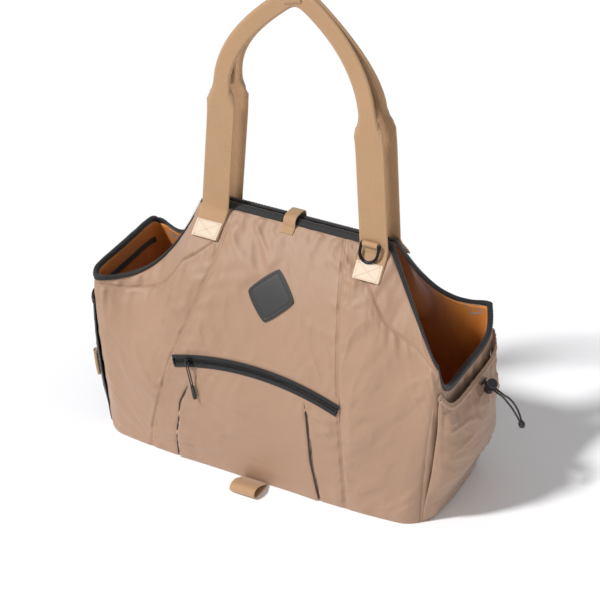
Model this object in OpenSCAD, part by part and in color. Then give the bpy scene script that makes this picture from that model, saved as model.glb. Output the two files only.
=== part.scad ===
// Soft pet carrier bag: a padded tote with a gathered crest, an open window at each end,
// a zipped front pocket, two webbing handles held in one keeper and a drawcord end pocket.
// Origin at the middle of the base, on the surface it stands on. X along the bag, front is -Y.

/* [Body] */
// Length of the base
base_l = 422; // [400:1:440]
// Width of the base at its ends
base_w = 160; // [150:1:170]
// Radius of the base corners
corner_r = 28; // [20:1:34]
// How far the long sides bulge at the base
side_bulge = 10; // [4:1:14]
// How far the ends bulge at the base
end_bulge = 5; // [2:1:8]

/* [Rim] */
// Height of the crest between the two windows
crest_z = 300; // [285:1:310]
// Half the length of the crest
crest_half = 118; // [105:1:125]
// How far the crest sits to the right of the base's middle
crest_shift = 11; // [0:1:14]
// Half the gap between the front and back crest edges
crest_gap = 10; // [9:0.5:13]
// Length across the bag at the end rims
rim_l = 443; // [436:1:448]
// Width across the end rims
rim_w = 156; // [150:1:160]
// Height of the left rim corner in front
left_corner_z = 198; // [192:1:210]
// Height of the left rim corner behind
left_back_corner_z = 205; // [195:1:215]
// Height of the right rim corner in front
right_corner_z = 205; // [198:1:212]
// Height of the right rim corner behind
right_back_corner_z = 211; // [204:1:220]
// How deep the left window's shoulder curves, where 1 is straight
left_curve = 3; // [1:0.1:3.5]
// How deep the right window's shoulder curves in front, where 1 is straight
right_curve = 1.1; // [1:0.1:3]
// How deep the right window's shoulder curves behind
right_back_curve = 2.4; // [1:0.1:3]
// How far back from each corner the rim starts to turn
rim_round = 22; // [16:1:24]
// How far the left end rim sags
left_sag = -8; // [-10:1:14]
// How far the right end rim sags
right_sag = 40; // [20:1:44]

/* [Fabric] */
// Thickness of the padded outer fabric
shell_t = 1.8; // [1.4:0.1:2.4]
// Thickness of the lining
lining_t = 1; // [0.8:0.1:1.4]
// Height of the rim binding
binding_h = 6; // [5:0.5:8]
// Thickness of the base mat
mat_t = 12; // [8:1:16]
// Thickness of the base stiffener
board_t = 3; // [2:0.5:4]

/* [Zip] */
// Radius of the arc that the zip follows
zip_r = 336; // [332:1:340]
// Angle of the zip's closed end, at the left
zip_left_angle = 17.7; // [17:0.1:17.9]
// Angle of the zip's open end, at the right
zip_right_angle = 18.7; // [17:0.1:18.9]
// Width of the zip tape
zip_tape_w = 15; // [13:0.5:16]
// Width of the zip chain
zip_chain_w = 5.5; // [5:0.5:6.5]

/* [Handles] */
// Width of the handle webbing
web_w = 33; // [30:1:36]
// Thickness of the handle webbing
web_t = 2; // [1.6:0.1:2.2]
// Width of the folded grips
grip_w = 16; // [14:1:18]
// Thickness of each folded grip
grip_t = 5; // [4:0.5:5.5]
// Height of the crest of the handles
handle_z = 571; // [560:1:576]
// Height of the hinge line where the webbing flexes
flex_z = 328; // [327:1:330]

/* [End pockets] */
// How far the right pocket bulges
right_pocket_bulge = 17; // [14:1:20]
// How far the left mesh pocket bulges
left_pocket_bulge = 11; // [9:1:14]

/* [Drawcord] */
// Diameter of each strand of the drawcord
cord_d = 2.4; // [2:0.1:2.6]
// Length of travel of the cord lock's plunger
plunger_travel = 3; // [2:0.5:3.5]

/* [Hidden] */
$fn = 32;

tan_fabric = "#c49f7e";
webbing = "#c9a074";
cream = "#e8d8c0";
black = "#1c1c1e";
charcoal = "#3f4244";
orange = "#c8782a";
steel = "#b8bcc0";

s_peak = 0.55;          // where along a long side the crest ends
crest_reach = 100;      // how far a long side bellies out below the crest
lining_d = shell_t + 1.4;
side_cols = 10;         // columns of facets in a side panel, a centre panel and an end panel
mid_cols = 12;
end_cols = 12;
floor_z = 2 + board_t;

function lerp(a, b, t) = a + (b - a) * t;
function smooth(x) = let(c = min(1, max(0, x))) c * c * (3 - 2 * c);
function unit(v) = v / norm(v);
function bezier(a, b, c, d, t) =
    pow(1 - t, 3) * a + 3 * t * pow(1 - t, 2) * b + 3 * t * t * (1 - t) * c + pow(t, 3) * d;

// A quarter outline with a round corner: s = 0 is mid side and s = 1 the middle of the corner
function corner_pt(a, b, r, s) = let(
    d = abs(s) * (a - r + r * PI / 4),
    ph = (d - (a - r)) / r * 180 / PI)
    d <= a - r ? [sign(s) * d, b] : [sign(s) * (a - r + r * sin(ph)), b - r * (1 - cos(ph))];

function rim_corner_z(sx, k) = sx < 0 ? (k < 0 ? left_corner_z : left_back_corner_z)
    : k < 0 ? right_corner_z : right_back_corner_z;

function shoulder_curve(sx, k) = sx < 0 ? left_curve : k < 0 ? right_curve : right_back_curve;

// The rim seen from above, in the back half. At the left (sx = -1) or right (sx = 1), a round
// corner runs from turn_from on the long rim to turn_to on the end rim, pulled to a sharp corner.
function crest_end(sx, d) = [sx * crest_half + crest_shift, crest_gap - d];
function sharp_corner(sx, d) = [sx * (rim_l / 2 - d), rim_w / 2 - d];
function turn_from(sx, d) = let(c = sharp_corner(sx, d)) c - rim_round * unit(c - crest_end(sx, d));
function turn_to(sx, d) = sharp_corner(sx, d) - [0, rim_round];
// Half of the turn, from a place on either rim at q = 0 to the middle of the corner at q = 1
function half_turn(a, b, sx, d, q) = let(c = sharp_corner(sx, d))
    pow(1 - q, 2) * a + q * (1 - q) * (a + c) + q * q * (a + 2 * c + b) / 4;

// The long sides. s runs from -1 at the left to 1 at the right, t from 0 at the base to 1 at
// the rim, k is -1 in front and 1 behind, d is the distance in from the outer face.
function rim_long(s, k, d) = let(
    sx = s < 0 ? -1 : 1,
    tau = max(0, (abs(s) - s_peak) / (1 - s_peak)),
    from = crest_end(sx, d),
    cut = 1 - rim_round / norm(sharp_corner(sx, d) - from),
    p = tau == 0 ? [crest_shift + s / s_peak * crest_half, crest_gap - d]
        : tau < cut ? lerp(from, sharp_corner(sx, d), tau)
        : half_turn(turn_from(sx, d), turn_to(sx, d), sx, d, (tau - cut) / (1 - cut)),
    cz = rim_corner_z(sx, k))
    [p.x, k * p.y, cz + (crest_z - cz) * pow(1 - tau, shoulder_curve(sx, k))];
function rim_end(s, k, d) = let(
    cut = 1 - rim_round / (rim_w / 2 - d),
    q = (abs(s) - cut) / (1 - cut),
    p = q < 0 ? [k * (rim_l / 2 - d - 1 + pow(s / cut, 2)), (rim_w / 2 - d) * abs(s)]
        : half_turn(turn_to(k, d), turn_from(k, d), k, d, q),
    cz = lerp(rim_corner_z(k, -1), rim_corner_z(k, 1), (s + 1) / 2),
    sag = k < 0 ? left_sag : right_sag)
    [p.x, sign(s) * p.y, cz - sag * (1 - pow(abs(s), 5))];
function long_side(s, t, k, d = 0, zb = 0) = let(
    p = corner_pt(base_l / 2 - d, base_w / 2 - d, corner_r, s),
    rim = rim_long(s, k, d),
    belly = smooth((1 - abs(s)) / 0.45),
    foot = [p.x, k * (p.y + side_bulge * (1 - pow(s, 4))), zb],
    low = [foot.x + 2 * s, foot.y + k * (3 + 11 * belly), lerp(zb, rim.z, 0.37)],
    high = [lerp(foot.x, rim.x, 0.62) + 3 * s, k * (lerp(rim_w / 2 - 1, crest_reach, belly) - d),
        lerp(0.66, 0.717, belly) * rim.z])
    bezier(foot, low, high, rim, t);

// The ends. s runs from -1 at the front to 1 at the back, k is -1 at the left and 1 at the right.
function end_side(s, t, k, d = 0, zb = 0) = let(
    q = corner_pt(base_w / 2 - d, base_l / 2 - d, corner_r, s),
    m = 1 - s * s,
    rim = rim_end(s, k, d),
    foot = [k * (q.y + end_bulge * m), q.x, zb],
    low = [foot.x + k * (2 + 4 * m), foot.y + 3 * s, lerp(zb, rim.z, 0.37)],
    high = [lerp(foot.x, rim.x, 0.62) + k * (3 + 3 * m), s * (rim_w / 2 - 1 - d), 0.66 * rim.z])
    bezier(foot, low, high, rim, t);

// The seams that cut the long sides into panels, as s at a height t
function left_seam(t) = bezier(-0.67, -0.625, -0.295, -0.37, t);
function right_seam(t) = lerp(0.58, 0.30, pow(t, 1.7));
// The slit under the zip, as t at a place s
function zip_slit(s) = 0.466 - 0.2 * pow(s - 0.01, 2);

// A thin solid between an outer and an inner grid of (nu + 1) by (nv + 1) points
module skin(outer, inner, nu, nv, flip = false) {
    n = (nu + 1) * (nv + 1);
    function id(l, i, j) = l * n + i * (nv + 1) + j;
    function quad(a, b, c, d) = flip ? [[a, c, b], [a, d, c]] : [[a, b, c], [a, c, d]];
    us = [0:nu - 1];
    vs = [0:nv - 1];
    // one cell of the outer or inner grid, and one piece of the edge at a fixed row or column
    function outer_cell(i, j) = quad(id(0, i, j), id(0, i, j + 1), id(0, i + 1, j + 1), id(0, i + 1, j));
    function inner_cell(i, j) = quad(id(1, i, j), id(1, i + 1, j), id(1, i + 1, j + 1), id(1, i, j + 1));
    function row_edge(i, j, a, b) = quad(id(a, i, j), id(a, i + 1, j), id(b, i + 1, j), id(b, i, j));
    function column_edge(i, j, a, b) = quad(id(b, i, j), id(b, i, j + 1), id(a, i, j + 1), id(a, i, j));
    faces = concat(
        [for (i = us, j = vs) each outer_cell(i, j)],
        [for (i = us, j = vs) each inner_cell(i, j)],
        [for (i = us) each concat(row_edge(i, 0, 0, 1), row_edge(i, nv, 1, 0))],
        [for (j = vs) each concat(column_edge(0, j, 0, 1), column_edge(nu, j, 1, 0))]);
    polyhedron(points = concat(outer, inner), faces = faces);
}

// Columns lie close together near the round corners
evenly = function(u) u;
close_first = function(u) pow(u, 1.6);
close_last = function(u) 1 - pow(1 - u, 1.6);
function end_step(i) = sin(lerp(-90, 90, i / end_cols));

// A piece of a long side between two seams and two heights, which are functions of t and of s,
// in nu columns, spread by the function spacing, and nv rows
module long_panel(k, lo, hi, bottom, top, nu, nv, d, thick, zb = 0, spacing = evenly) {
    function across(t, u) = lerp(lo(t), hi(t), spacing(u));
    // Where a line given as t at a place s is met by the column at u
    function meet(line, u) = line(across(line(across(0.45, u)), u));
    function grid(depth) = [for (i = [0:nu], j = [0:nv]) let(
        u = i / nu, t = lerp(meet(bottom, u), meet(top, u), j / nv))
        long_side(across(t, u), t, k, depth, zb)];
    skin(grid(d), grid(d + thick), nu, nv, k > 0);
}
module end_panel(k, nv, d, thick, zb = 0) {
    function grid(depth) = [for (i = [0:end_cols], j = [0:nv]) end_side(end_step(i), j / nv, k, depth, zb)];
    skin(grid(d), grid(d + thick), end_cols, nv, k < 0);
}
foot_line = function(s) 0;
rim_line = function(s) 1;
zip_line = function(s) zip_slit(s);
left_edge = function(t) -1;
right_edge = function(t) 1;
left_cut = function(t) left_seam(t);
right_cut = function(t) right_seam(t);
// The centre panels stop short of the seams by a seam's width
seam_width = 0.0012;
left_stitch = function(t) left_seam(t) + seam_width;
right_stitch = function(t) right_seam(t) - seam_width;

// Places along a long side where the panels' columns meet the height t
function column_steps(t) = concat(
    [for (i = [0:side_cols - 1]) lerp(-1, left_seam(t), close_first(i / side_cols))],
    [for (i = [0:mid_cols - 1]) lerp(left_seam(t), right_seam(t), i / mid_cols)],
    [for (i = [0:side_cols]) lerp(right_seam(t), 1, close_last(i / side_cols))]);
rim_steps = column_steps(1);
foot_steps = column_steps(0);
module long_lining(k) {
    rows = 8;
    steps = [for (j = [0:rows]) column_steps(j / rows)];
    n = len(rim_steps) - 1;
    function grid(depth) = [for (i = [0:n], j = [0:rows]) long_side(steps[j][i], j / rows, k, depth, 2)];
    skin(grid(lining_d), grid(lining_d + lining_t), n, rows, k > 0);
}

// Outline of the base at a distance in from the outer face
function base_outline(d) = concat(
    [for (s = foot_steps) let(p = long_side(s, 0, -1, d)) [p.x, p.y]],
    [for (i = [1:end_cols - 1]) let(p = end_side(end_step(i), 0, 1, d)) [p.x, p.y]],
    [for (i = [len(foot_steps) - 1:-1:0]) let(p = long_side(foot_steps[i], 0, 1, d)) [p.x, p.y]],
    [for (i = [end_cols - 1:-1:1]) let(p = end_side(end_step(i), 0, -1, d)) [p.x, p.y]]);

// A closed or open strip swept along points, with its section in each point's own axes
function section_ring(p, across, up, section) = [for (q = section) p + q.x * across + q.y * up];
module sweep(rings, closed = false) {
    m = len(rings[0]);
    n = len(rings);
    last = closed ? n - 1 : n - 2;
    sides = [for (i = [0:last], j = [0:m - 1]) let(a = i * m + j, b = i * m + (j + 1) % m,
        c = ((i + 1) % n) * m + (j + 1) % m, e = ((i + 1) % n) * m + j) each [[a, b, c], [a, c, e]]];
    caps = closed ? [] : [[for (j = [m - 1:-1:0]) j], [for (j = [0:m - 1]) (n - 1) * m + j]];
    polyhedron(points = [for (r = rings) each r], faces = concat(sides, caps));
}

// ---- Outer panels ----
module front_upper_panel() color(tan_fabric)
    long_panel(-1, left_stitch, right_stitch, zip_line, rim_line, mid_cols, 9, 0, shell_t);
module front_pocket_panel() color(tan_fabric)
    long_panel(-1, left_stitch, right_stitch, foot_line, zip_line, mid_cols, 6, 0, shell_t);
module front_left_panel() color(tan_fabric)
    long_panel(-1, left_edge, left_cut, foot_line, rim_line, side_cols, 12, 0, shell_t,
        spacing = close_first);
module front_right_panel() color(tan_fabric)
    long_panel(-1, right_cut, right_edge, foot_line, rim_line, side_cols, 12, 0, shell_t,
        spacing = close_last);
module back_centre_panel() color(tan_fabric)
    long_panel(1, left_stitch, right_stitch, foot_line, rim_line, mid_cols, 12, 0, shell_t);
module back_left_panel() color(tan_fabric)
    long_panel(1, left_edge, left_cut, foot_line, rim_line, side_cols, 12, 0, shell_t,
        spacing = close_first);
module back_right_panel() color(tan_fabric)
    long_panel(1, right_cut, right_edge, foot_line, rim_line, side_cols, 12, 0, shell_t,
        spacing = close_last);
module left_end_panel() color(tan_fabric) end_panel(-1, 10, 0, shell_t);
module right_end_panel() color(tan_fabric) end_panel(1, 10, 0, shell_t);

// ---- Base ----
module base_panel() color(tan_fabric) linear_extrude(2) polygon(base_outline(shell_t + 0.2));
module base_board() color(charcoal) translate([0, 0, 2]) linear_extrude(board_t)
    polygon(base_outline(lining_d + lining_t + 1.6));
module floor_lining() color(orange) translate([0, 0, floor_z]) linear_extrude(lining_t)
    polygon(base_outline(lining_d + lining_t + 1.6));
module base_mat() color(orange) translate([0, 0, floor_z + lining_t]) {
    edge = 3;
    linear_extrude(mat_t - edge) polygon(base_outline(8));
    translate([0, 0, mat_t - edge]) linear_extrude(edge, scale = 0.975) polygon(base_outline(8));
}

// ---- Lining ----
module front_lining() color(orange) long_lining(-1);
module back_lining() color(orange) long_lining(1);
module left_end_lining() color(orange) end_panel(-1, 8, lining_d, lining_t, 2);
module right_end_lining() color(orange) end_panel(1, 8, lining_d, lining_t, 2);
module front_pocket_lining() color(charcoal) {
    top = function(s) zip_slit(s) + 0.03;
    long_panel(-1, left_stitch, right_stitch, foot_line, top, mid_cols, 5, shell_t + 0.3, 0.5, 2.2);
}

// Slip pockets inside each end, flat against the lining, with a bound top edge
module inner_pocket(k) {
    d = lining_d + lining_t + 0.4;
    function grid(depth) = [for (i = [0:6], j = [0:4])
        end_side(lerp(-0.8, 0.8, i / 6), lerp(0.3, 0.9, j / 4), k, depth, 2)];
    skin(grid(d), grid(d + 1.6), 6, 4, k < 0);
}
module left_inner_pocket() color(orange) inner_pocket(-1);
module right_inner_pocket() color(orange) inner_pocket(1);

// ---- Rim binding ----
binding_section = [[-1.2, 0.35], [lining_d + lining_t + 0.8, 0.35], [lining_d + lining_t + 0.8, 4.5],
    [lining_d + lining_t - 1, binding_h], [0.4, binding_h], [-1.2, 4.5]];
function rim_ring(p, inner, below) = let(
    across = unit(inner - p), up = unit(p - below)) section_ring(p, across, up, binding_section);
function long_ring(s, k) = rim_ring(long_side(s, 1, k), long_side(s, 1, k, 4), long_side(s, 0.93, k));
function end_ring(s, k) = rim_ring(end_side(s, 1, k), end_side(s, 1, k, 4), end_side(s, 0.93, k));
module rim_binding() color(black) sweep(concat(
    [for (s = rim_steps) long_ring(s, -1)],
    [for (i = [1:end_cols - 1]) end_ring(end_step(i), 1)],
    [for (i = [len(rim_steps) - 1:-1:0]) long_ring(rim_steps[i], 1)],
    [for (i = [end_cols - 1:-1:1]) end_ring(end_step(i), -1)]), closed = true);

// ---- Zip: a flat arc on the front, in a plane that leans back with the panel ----
zip_lean = 7;
zip_apex = [2.3, -91.25, 150.7];
chain_h = 1.8;
tape_t = 0.8;
// Puts children drawn round the arc's centre, +Y to the apex and +Z outwards, onto the front
module on_zip_plane() translate(zip_apex) rotate([90 - zip_lean, 0, 0]) translate([0, -zip_r, 0]) children();
module zip_band(width, thick, inset) rotate([0, 0, 90 - zip_right_angle + inset])
    rotate_extrude(angle = zip_left_angle + zip_right_angle - 2 * inset, $fn = 240)
        translate([zip_r - width / 2, 0]) square([width, thick]);
module zip_tape() color(black) on_zip_plane() zip_band(zip_tape_w, tape_t, 0);
module zip_chain() color(black) on_zip_plane() translate([0, 0, tape_t]) zip_band(zip_chain_w, chain_h, 0.6);
module zip_stops() color(charcoal) on_zip_plane() for (a = [zip_left_angle - 0.3, 0.3 - zip_right_angle])
    rotate([0, 0, a]) translate([-0.8, zip_r - 3.5, tape_t]) cube([1.6, 7, 2.2]);

// The slider straddles the chain: a roof with two flanges, and a bridge for the puller
slider_rest = 13.9;     // angle along the arc from its apex
slider_gap = 0.3;
roof_z = chain_h + 2 * slider_gap;
roof_t = 1.2;
module at_slider() on_zip_plane() rotate([0, 0, slider_rest]) translate([0, zip_r, tape_t]) children();
module zip_slider() color(charcoal) at_slider() {
    wide = zip_chain_w + 2 * slider_gap + 2.4;
    difference() {
        translate([0, 0, slider_gap]) linear_extrude(roof_z + roof_t - slider_gap) {
            square([9, wide - 4], center = true);
            square([6, wide], center = true);
            for (x = [-2.5, 2.5], y = [2 - wide / 2, wide / 2 - 2]) translate([x, y]) circle(2);
        }
        translate([-10, -zip_chain_w / 2 - slider_gap, 0]) cube([20, zip_chain_w + 2 * slider_gap, roof_z]);
    }
    translate([0, 1.2, roof_z + roof_t]) rotate([90, 0, 0]) linear_extrude(2.4)
        polygon([[-4.6, 0], [-3.4, 0], [-3.2, 2.3], [3.2, 2.3], [3.4, 0], [4.6, 0], [3.8, 3.5], [-3.8, 3.5]]);
}
// Puller: a cord loop threaded under the bridge and back over it, with a moulded grip
puller_wire = 1.5;
puller_half = 1.8;     // half the distance between the loop's two legs
puller_lift = 0.25;     // keeps the sinking legs off the roof
puller_z = roof_z + roof_t + slider_gap + puller_lift + puller_wire / 2 + puller_half;
puller_len = 28;
grip_len = 17;
puller_sink = 5;        // angle by which the grip sinks towards the panel
module at_puller() at_slider() translate([0, 0, puller_z]) rotate([puller_sink, 0, 0]) children();
module puller_bend(turn) rotate([0, 90, 0]) rotate([0, 0, turn]) rotate_extrude(angle = 180)
    translate([puller_half, 0]) circle(d = puller_wire, $fn = 16);
module puller_cord() color(black) at_puller() {
    top = 1.6;
    for (z = [-puller_half, puller_half]) translate([0, top, z]) rotate([90, 0, 0])
        cylinder(d = puller_wire, h = puller_len + top - puller_half);
    translate([0, top, 0]) puller_bend(0);
    translate([0, puller_half - puller_len, 0]) puller_bend(180);
}
module puller_grip() color(charcoal) at_puller() translate([0, -puller_len - puller_wire / 2, 0])
    rotate([90, 0, 0]) rotate_extrude() polygon([[0, 0], [2, 0], [2.4, 1.5], [2.2, 4], [2.4, 8],
        [2.5, grip_len - 3], [2, grip_len - 0.6], [0, grip_len]]);

// ---- Patch: a soft rubber diamond that follows the front ----
patch_at = [0.013, 0.756];
patch_half = [0.148, 0.104];
module front_patch() {
    // rounds the square's corners by drawing them in
    function pull(u, v) = 1 - 0.09 * pow(abs(u * v), 2.5);
    function grid(d) = [for (i = [0:8], j = [0:8]) let(
        u = (i / 4 - 1), v = (j / 4 - 1), r = pull(u, v),
        s = patch_at.x + (u - v) / 2 * r * patch_half.x,
        t = patch_at.y + (u + v) / 2 * r * patch_half.y)
        long_side(s, t, -1, d)];
    color(charcoal) skin(grid(-1.6), grid(-0.05), 8, 8);
}

// ---- Top tab: webbing that ties the front crest to the back crest ----
tab_x = 7;
tab_w = 20;
tab_t = 1.4;
module top_tab() color(webbing) {
    sewn = [for (t = [0.955, 0.97, 0.985]) let(f = on_face(0, t, -1, tab_t / 2 + 0.1)) [f[0].y, f[0].z]];
    half = concat(sewn, [[-13.4, 301.5], [-12.6, 305.5], [-9.5, 308.6], [-4, 309.4]]);
    path = concat(half, [for (i = [len(half) - 1:-1:0]) [-half[i].x, half[i].y]]);
    sweep([for (i = [0:len(path) - 1]) let(
        a = path[max(0, i - 1)], b = path[min(len(path) - 1, i + 1)], out = unit([0, a.y - b.y, b.x - a.x]))
        section_ring([tab_x, path[i].x, path[i].y], [1, 0, 0], out, strap_section(tab_w, tab_t))]);
}

// ---- Handles: webbing sewn to the panels, folded in half where it makes the grips ----
strap_y = 15.5;         // the straps' middle plane, in front and behind
root_top = 306;
leg_bottom = flex_z + 20;
strap_s = [-0.46, 0.47];  // where each strap is sewn, as s
// Middle of a strap at a height, for the left (0) or right (1) leg
function leg_x(side, z) = side == 0 ? -86 + (z - 295) * 0.085 : 112.5 - (z - 295) * 0.062;
function strap_section(w, th) = let(a = w / 2, b = th / 2, c = min(b, 0.8))
    [[-a, -b + c], [-a + c, -b], [a - c, -b], [a, -b + c], [a, b - c], [a - c, b], [-a + c, b], [-a, b - c]];
// A ring of a strap whose width lies along across and whose thickness lies along out
function strap_ring(p, across, out, w, th) = section_ring(p, across, out, strap_section(w, th));
// A place on a long side's outer face, lifted off it, and the direction out of it
function on_face(s, t, k, lift) = let(
    p = long_side(s, t, k), up = unit(p - long_side(s, t - 0.01, k)), out = unit(cross([1, 0, 0], up)) * -k)
    [p + out * lift, out];
module sewn_strap(side, k, heights, w, th, lift) {
    rings = [for (t = heights) let(f = on_face(strap_s[side], t, k, lift + th / 2))
        strap_ring([leg_x(side, f[0].z), f[0].y, f[0].z], [-k, 0, 0], f[1], w, th)];
    sweep(rings);
}
module strap_root(side, k) {
    sewn = [for (t = [0.865, 0.89, 0.915, 0.94, 0.96]) let(f = on_face(strap_s[side], t, k, web_t / 2 + 0.05))
        strap_ring([leg_x(side, f[0].z), f[0].y, f[0].z], [-k, 0, 0], f[1], web_w, web_t)];
    free = [for (z = [300, 303, root_top])
        strap_ring([leg_x(side, z), k * strap_y, z], [-k, 0, 0], [0, k, 0], web_w, web_t)];
    sweep(concat(sewn, free));
}
module strap_roots() color(webbing) for (side = [0, 1], k = [-1, 1]) strap_root(side, k);
// Reinforcing tape stitched over each strap's sewn end
module strap_anchors() color(cream) for (side = [0, 1], k = [-1, 1])
    sewn_strap(side, k, [0.87, 0.89, 0.91, 0.93], web_w - 2, 0.7, web_t + 0.1);
// The free webbing that bends when the handles fall
module strap_flex_sections() color(webbing) for (side = [0, 1], k = [-1, 1])
    sweep([for (z = [root_top, (root_top + leg_bottom) / 2, leg_bottom - 0.3])
        strap_ring([leg_x(side, z), k * strap_y, z], [-k, 0, 0], [0, k, 0], web_w, web_t)]);

// The path of a handle in the plane of the bag's length, as [x, z], from the left leg to the right
function grip_pt(v) = v < 0.5
    ? bezier([-75, 452], [-74, 500], [-38, 532], [8, handle_z - 3], 2 * v)
    : bezier([14, handle_z - 3], [62, handle_z - 36], [98, 490], [101, 448], 2 * v - 1);
leg_steps = [0, 0.35, 0.7, 1];
function handle_path() = concat(
    [for (f = leg_steps) let(z = lerp(leg_bottom, 430, f)) [leg_x(0, z), z]],
    [for (i = [0:9]) grip_pt(i * 0.5 / 10)],
    [[11, handle_z]],
    [for (i = [1:10]) grip_pt(0.5 + i * 0.5 / 10)],
    [for (f = leg_steps) let(z = lerp(424, leg_bottom, f)) [leg_x(1, z), z]]);
// How much of the fold is made at a point of the path: 0 on the flat legs and 1 on the grips
function folded(p) = smooth((p.y - 426) / 40);
function handle_ring(path, i, k) = let(
    p = path[i], a = path[max(0, i - 1)], b = path[min(len(path) - 1, i + 1)],
    level = p.y < leg_bottom + 1,
    along = level ? [0, 0, sign(b.y - a.y)] : unit([b.x - a.x, 0, b.y - a.y]),
    across = cross([0, 1, 0], along), f = folded(p),
    y = lerp(strap_y, grip_t / 2 + 0.4, smooth((p.y - 426) / 120)))
    strap_ring([p.x, k * y, p.y], k * across, [0, k, 0], lerp(web_w, grip_w, f), lerp(web_t, grip_t, f));
module handle(k) {
    path = handle_path();
    sweep([for (i = [0:len(path) - 1]) handle_ring(path, i, k)]);
}
module front_handle() color(webbing) handle(-1);
module back_handle() color(webbing) handle(1);
// A sewn band that holds both grips together at their crest
module handle_keeper() color(webbing) translate([6, 0, handle_z - 3]) rotate([0, -14, 0]) {
    wide = 22;
    difference() {
        cube([wide, 2 * grip_t + 5, grip_w + 6], center = true);
        cube([wide + 1, 2 * grip_t + 1.4, grip_w + 1.6], center = true);
    }
}

// ---- D-ring and its tab, on the front right strap ----
ring_x = 110;
ring_wire = 3.4;
ring_half = 10.8;       // half the width between the middles of the ring's legs
ring_drop = 9;          // length of the straight part of the legs
ring_pivot = [ring_x, -strap_y - web_t / 2 - 1.6 - ring_wire / 2, root_top];
ring_lean = 24;         // angle at which the ring hangs out over the panel
module at_ring() translate(ring_pivot) rotate([-ring_lean, 0, 0]) children();
module d_ring() color(black) at_ring() {
    rotate([0, 90, 0]) cylinder(d = ring_wire, h = 2 * ring_half, center = true);
    for (x = [-ring_half, ring_half]) translate([x, 0, -ring_drop]) cylinder(d = ring_wire, h = ring_drop);
    for (x = [-ring_half, ring_half]) translate([x, 0, 0]) sphere(d = ring_wire);
    translate([0, 0, -ring_drop]) rotate([-90, 0, 0]) rotate_extrude(angle = 180)
        translate([ring_half, 0]) circle(d = ring_wire, $fn = 24);
}
module d_ring_tab() color(webbing) translate([ring_x - 9, ring_pivot.y, ring_pivot.z]) {
    r = ring_wire / 2 + 0.3;
    rotate([90, 0, 90]) linear_extrude(18) {
        difference() {
            union() {
                circle(r + 1.1);
                translate([0, -4.5]) square([r + 1.1, 4.5]);
            }
            circle(r);
            translate([-r, -20]) square([2 * r, 20]);
        }
    }
}

// ---- End pockets ----
function across_shape(s) = pow(max(0, 1 - pow(s, 4)), 0.6);
function up_shape(v, pinch) = smooth(v / 0.45) * (1 - pinch * smooth((v - 0.7) / 0.3));
function pocket_pt(k, s, v, top, bulge, pinch, off) =
    end_side(s, 0.02 + (top - 0.02) * v, k)
        + [k * (off + bulge * across_shape(s) * up_shape(v, pinch)), 0, 0];
right_pinch = 0.62;     // how much of each pocket's bulge is drawn in at its mouth
left_pinch = 0.35;
function right_top(s) = 0.88 - 0.04 * pow(s, 4);
function left_top(s) = 0.82;
module right_end_pocket() {
    function grid(off) = [for (i = [0:14], j = [0:9])
        pocket_pt(1, lerp(-0.97, 0.97, i / 14), j / 9, right_top(lerp(-0.97, 0.97, i / 14)),
            right_pocket_bulge, right_pinch, off)];
    color(tan_fabric) skin(grid(1.8), grid(0.2), 14, 9, false);
}
module left_mesh_pocket() {
    function grid(off) = [for (i = [0:12], j = [0:8])
        pocket_pt(-1, lerp(-0.96, 0.96, i / 12), j / 8, left_top(0), left_pocket_bulge, left_pinch, off)];
    color(black) skin(grid(1.3), grid(0.4), 12, 8, true);
}
module pocket_edge(k, s_end, top, bulge, pinch, section) {
    sweep([for (i = [0:14]) let(s = lerp(-s_end, s_end, i / 14),
        p = pocket_pt(k, s, 1, top(s), bulge, pinch, 0.9),
        q = pocket_pt(k, s, 0.96, top(s), bulge, pinch, 0.9),
        up = unit(p - q)) section_ring(p, [k, 0, 0], up, section)]);
}
// Gathered hem that the drawcord runs in
module right_pocket_hem() color(tan_fabric) difference() {
    pocket_edge(1, 0.97, function(s) right_top(s), right_pocket_bulge, right_pinch,
        [[-0.8, 0], [2.6, 0], [3.4, 2], [3.4, 6], [2.4, 8], [-0.4, 8], [-0.8, 7]]);
    at_lock() rotate([0, 90, 0]) translate([0, 0, -16]) cylinder(r = 4.4, h = 14);
}
module left_pocket_binding() color(black)
    pocket_edge(-1, 0.96, function(s) left_top(s), left_pocket_bulge, left_pinch,
        [[-0.8, 0], [-0.8, 6], [1.2, 6], [1.2, 0]]);
// Folded webbing tab in the left end's front seam
module left_side_tab() {
    at = -0.8;
    rise = [0.28, 0.33, 0.38, 0.43];
    color(webbing) sweep([for (v = rise) let(
        p = pocket_pt(-1, at, v / left_top(0), left_top(0), left_pocket_bulge, left_pinch, 1.3),
        q = pocket_pt(-1, at + 0.03, v / left_top(0), left_top(0), left_pocket_bulge, left_pinch, 1.3),
        along = unit([q.x - p.x, q.y - p.y, 0]), out = cross([0, 0, 1], along))
        section_ring(p, along, out, [[-5, 0], [-5, 3.2], [-4, 4], [4, 4], [5, 3.2], [5, 0]])]);
}

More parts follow.
